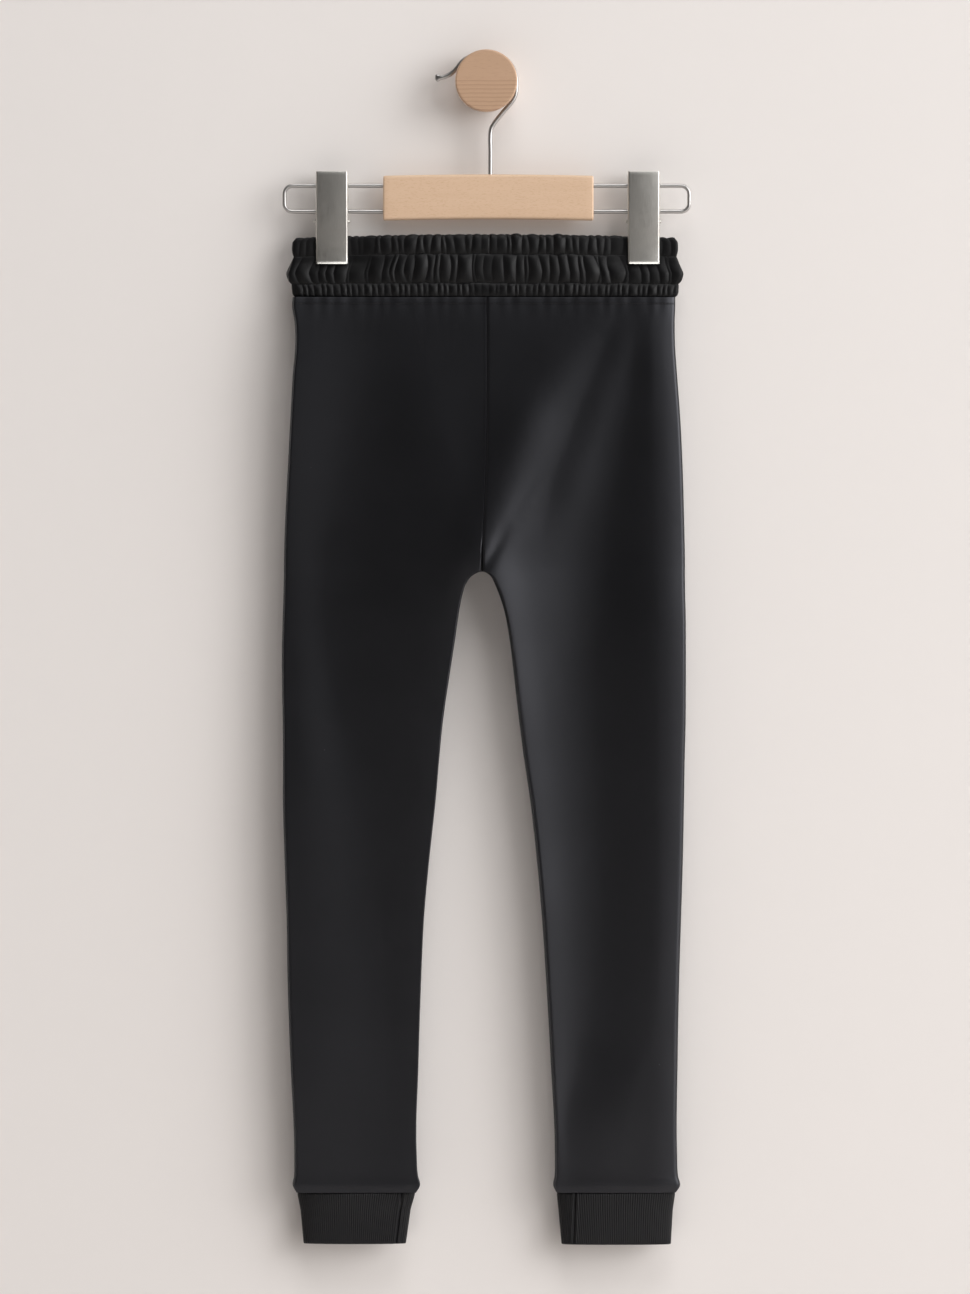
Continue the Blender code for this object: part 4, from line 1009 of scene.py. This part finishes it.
# Down each cuff: height, centre, half width and half depth.
CUFF_ROWS = {
    "left": ((-966.1, -113.1, 51.2, 10.5), (-981, -113.7, 47.6, 10.2), (-1010.6, -114.4, 44.2, 9.4)),
    "right": ((-966.1, 112.8, 51.3, 10.5), (-981, 112.5, 49.4, 10.2), (-1011.2, 113, 47.2, 9.4)),
}
CUFF_SEAM_X = {"left": (-73.3, -78.6), "right": (77.2, 75.8)}
CUFF_SEAM_DIP = 0.9
CUFF_SEAM_WIDTH = 0.8
CUFF_SEAM_RIDGE = 0.5
CUFF_RIDGE_PLACE = 2.2
CUFF_RIDGE_WIDTH = 1.2
CUFF_TUCK = 0.4
CUFF_TUCK_X = {"left": 0, "right": -15}
CUFF_TUCK_WIDTH = 24
CUFF_TUCK_DROP = 1

# Rib knit of cotton and elastane: matt black with a little more life on the ribs than between them.
rib_knit, tree, shader = start_material(
    "black_rib_knit", {"Roughness": 0.5, "Specular IOR Level": 0.25, "Sheen Weight": 0.02,
                       "Sheen Roughness": 0.45, "Sheen Tint": "#a5a8b0"})
place = add_node(tree, "TexCoord").outputs
fuzz = add_node(tree, "TexNoise", {"Scale": 1100, "Detail": 4}, {"Vector": place["Object"]})
loops_place = add_node(
    tree, "Mapping", {"Scale": (1, 2 * math.pi / (COURSE * MM), 1)}, {"Vector": place["UV"]})
parts = add_node(tree, "SeparateXYZ", links={0: loops_place}).outputs
course = add_node(tree, "Math", {"operation": "SINE"}, {0: parts["Y"]})
nap = add_node(tree, "Math", {"operation": "MULTIPLY_ADD", 1: 0.4}, {0: course, 2: fuzz})
tint = add_node(tree, "Mix", {"data_type": "RGBA", 6: "#070709", 7: "#0e0e11"}, {0: fuzz})
finish_material(shader, tint, nap, strength=0.4, depth=0.08)


def cuff_row(side, z, inset=0):
    """One row of a cuff, with its ribs where it isn't drawn in, its way round and its way down."""
    table = np.array(CUFF_ROWS[side])[::-1]
    centre, half_width, half_depth = (
        np.interp(z, table[:, 0], table[:, column]) for column in (1, 2, 3))
    x, y, out_x, out_y, way = flat_tube(
        half_width - inset, lambda _: half_depth - inset, CUFF_SQUARENESS[side],
        CUFF_RIBS * POINTS_PER_RIB)
    rib = np.abs(np.sin(math.pi * np.arange(len(x)) / POINTS_PER_RIB)) ** 0.8 * RIB_HEIGHT
    from_top = table[-1, 0] - z
    seam_top, seam_bottom = CUFF_SEAM_X[side]
    seam_x = seam_top + (seam_bottom - seam_top) * from_top / (table[-1, 0] - table[0, 0])
    from_seam = np.abs(x + centre - seam_x)
    seam = CUFF_SEAM_DIP * np.exp(-(from_seam / CUFF_SEAM_WIDTH) ** 2)
    seam -= CUFF_SEAM_RIDGE * np.exp(-((from_seam - CUFF_RIDGE_PLACE) / CUFF_RIDGE_WIDTH) ** 2)
    tuck = CUFF_TUCK * (1 + np.exp(-((x - CUFF_TUCK_X[side]) / CUFF_TUCK_WIDTH) ** 2))
    tuck *= np.exp(-(from_top / CUFF_TUCK_DROP) ** 2)
    push = (rib - seam * (y < 0) - tuck) * (0 if inset else 1)
    height = np.full(len(x), z)
    points = np.column_stack([centre + x + out_x * push, HANGING_Y + y + out_y * push, height])
    return points, way, height


for side in SIDES:
    top, hem = CUFF_ROWS[side][0][0], CUFF_WALL / 2
    fold_z = CUFF_ROWS[side][-1][0] + hem
    outer_z = [*(top - np.array([0, 0.5, 1, 1.8, 3])), *np.linspace(top - 5, fold_z, 12)]
    cuff_rows = [cuff_row(side, z) for z in outer_z]
    outer_fold, way, _ = cuff_rows[-1]
    inner_fold = cuff_row(side, fold_z, CUFF_WALL)[0]
    for step in range(1, CUFF_HEM_STEPS):
        turn = math.pi * step / CUFF_HEM_STEPS
        points = outer_fold * 0.5 * (1 + math.cos(turn)) + inner_fold * 0.5 * (1 - math.cos(turn))
        points[:, 2] = fold_z - hem * math.sin(turn)
        cuff_rows.append((points, way, points[:, 2]))
    cuff_rows += [cuff_row(side, z, CUFF_WALL) for z in np.linspace(fold_z, top, 6)]
    cuff = add_tube(f"cuff_{side}_ribbed", cuff_rows, rib_knit, "rib_knit", f"cuff_{side}")


# Sewing: black polyester thread. Two rows close the elastic's channels in the waistband, and one row
# under the waist seam holds its allowance down, which stands out a little above that row.
THREAD_RADIUS = 0.24
STITCH_PITCH = 3.1
STITCH_LENGTH = 2.3
STITCH_SIDES = 6
FIRST_STITCH = 0.6
WAIST_STITCH_DROP = 5.6

# Spun polyester thread: black, with a tight twist and slightly more shine than the cloth.
thread, tree, shader = start_material(
    "black_spun_thread", {"Roughness": 0.45, "Specular IOR Level": 0.4})
place = add_node(tree, "TexCoord").outputs
fibres = add_node(tree, "TexNoise", {"Scale": 2400, "Detail": 2}, {"Vector": place["Object"]})
tint = add_node(tree, "Mix", {"data_type": "RGBA", 6: "#0b0b0c", 7: "#18181a"}, {0: fibres})
finish_material(shader, tint, fibres, strength=0.4, depth=0.05)


def add_stitches(name, line, slot):
    """Adds one row of stitches that lies on a line of points."""
    length = np.concatenate([[0], np.cumsum(np.linalg.norm(np.diff(line, axis=0), axis=1))])
    points, faces = [], []
    for start in np.arange(FIRST_STITCH, length[-1] - STITCH_LENGTH, STITCH_PITCH):
        steps = np.linspace(start, start + STITCH_LENGTH, 4)
        route = np.column_stack([np.interp(steps, length, line[:, axis]) for axis in range(3)])
        bar, bar_faces = round_bar(route, THREAD_RADIUS, STITCH_SIDES)
        faces += [[len(bar) * len(points) + corner for corner in face] for face in bar_faces]
        points.append(bar)
    add_piece(name, np.concatenate(points), faces, thread, slot)


for number, name in enumerate(("upper", "lower")):
    loop, _ = band_row(CHANNELS[number].bottom, number, 1)
    add_stitches(f"channel_{name}_stitches", np.concatenate([loop, loop[:1]]), "satin")
stitch_z = np.array([WAIST_Z - WAIST_STITCH_DROP])
stitch_shares = np.linspace(0.03, 0.985, 400)
for face, face_name in ((BACK, "back"), (FRONT, "front")):
    for side in SIDES:
        line = panel_outer(side, face, stitch_shares, stitch_z)[0]
        add_stitches(f"waist_{face_name}_{side}_stitches", line, "fleece")


# Room: a matt painted wall behind the peg, which hides nothing from behind, and a pale floor below.
# Its sizes and the lamps' are in metres.
WALL_REACH = 12
WALL_TOP_Z = 5
FLOOR_Z = -1.35
STAGE = (
    ("painted_wall", "#dfdbd8",
     [(-WALL_REACH, 0, FLOOR_Z), (WALL_REACH, 0, FLOOR_Z), (WALL_REACH, 0, WALL_TOP_Z),
      (-WALL_REACH, 0, WALL_TOP_Z)]),
    ("pale_floor", "#d8d4d1",
     [(-5, -4, FLOOR_Z), (WALL_REACH, -4, FLOOR_Z), (WALL_REACH, 5, FLOOR_Z),
      (-5, 5, FLOOR_Z)]),
)
for name, colour, corners in STAGE:
    mesh = bpy.data.meshes.new(name)
    mesh.from_pydata(corners, [], [(0, 1, 2, 3)])
    plane = add_object(name, mesh)
    paint, tree, shader = start_material(
        f"matt_{name}", {"Base Color": colour, "Roughness": 1, "Specular IOR Level": 0})
    if name == "painted_wall":
        plane.visible_shadow = False
        facing = add_node(tree, "NewGeometry").outputs["Backfacing"]
        clear = add_node(tree, "BsdfTransparent")
        seen = add_node(tree, "MixShader", links={0: facing, 1: shader, 2: clear})
        link_all(tree.nodes["Material Output"], {"Surface": seen})
    mesh.materials.append(paint)

# Light: two wide soft windows on the right, a lamp at the ceiling, a weak warm fill on the left, and
# two lamps behind the wall for the side that it hides. Each: place, width, watts and colour.
LAMPS = {
    "window_right": ((5.65, -5.65, 1.4), 6.5, 320, "#fffefe"),
    "window_along_wall": ((7.2, -2.8, 2.6), 7, 515, "#fffefe"),
    "ceiling": ((0.8, -3, 5), 4, 165, "#fffefe"),
    "fill_left": ((-6.4, -2.9, -0.4), 6, 26, "#fff3ec"),
    "behind_left": ((-5.4, 3.4, 1.8), 3.5, 190, "#fffaf7"),
    "behind_right": ((4.8, 4, 0.6), 3.5, 80, "#fffaf7"),
}
LIT_PLACE = Vector((0, 0, -0.5))
for name, (lamp_place, width, watts, colour) in LAMPS.items():
    data = bpy.data.lights.new(name, "AREA")
    data.shape = "DISK"
    data.size = width
    data.energy = watts
    data.color = linear(colour)[:3]
    light = add_object(name, data)
    light.location = lamp_place
    light.rotation_mode = "QUATERNION"
    light.rotation_quaternion = (LIT_PLACE - Vector(lamp_place)).to_track_quat("-Z", "Y")
    light.visible_camera = False

# The rest of the room is pale to look at, and gives little light.
ROOM_LIGHT = 0.055
ROOM_SEEN = 0.8
world = bpy.data.worlds.new("pale_room")
world.use_nodes = True
background = world.node_tree.nodes["Background"]
set_values(background, {"Color": "#f1eeec"})
looked_at = add_node(world.node_tree, "LightPath").outputs["Is Camera Ray"]
strength = add_node(
    world.node_tree, "MapRange", {"To Min": ROOM_LIGHT, "To Max": ROOM_SEEN}, {"Value": looked_at})
link_all(background, {"Strength": strength})
bpy.context.scene.world = world
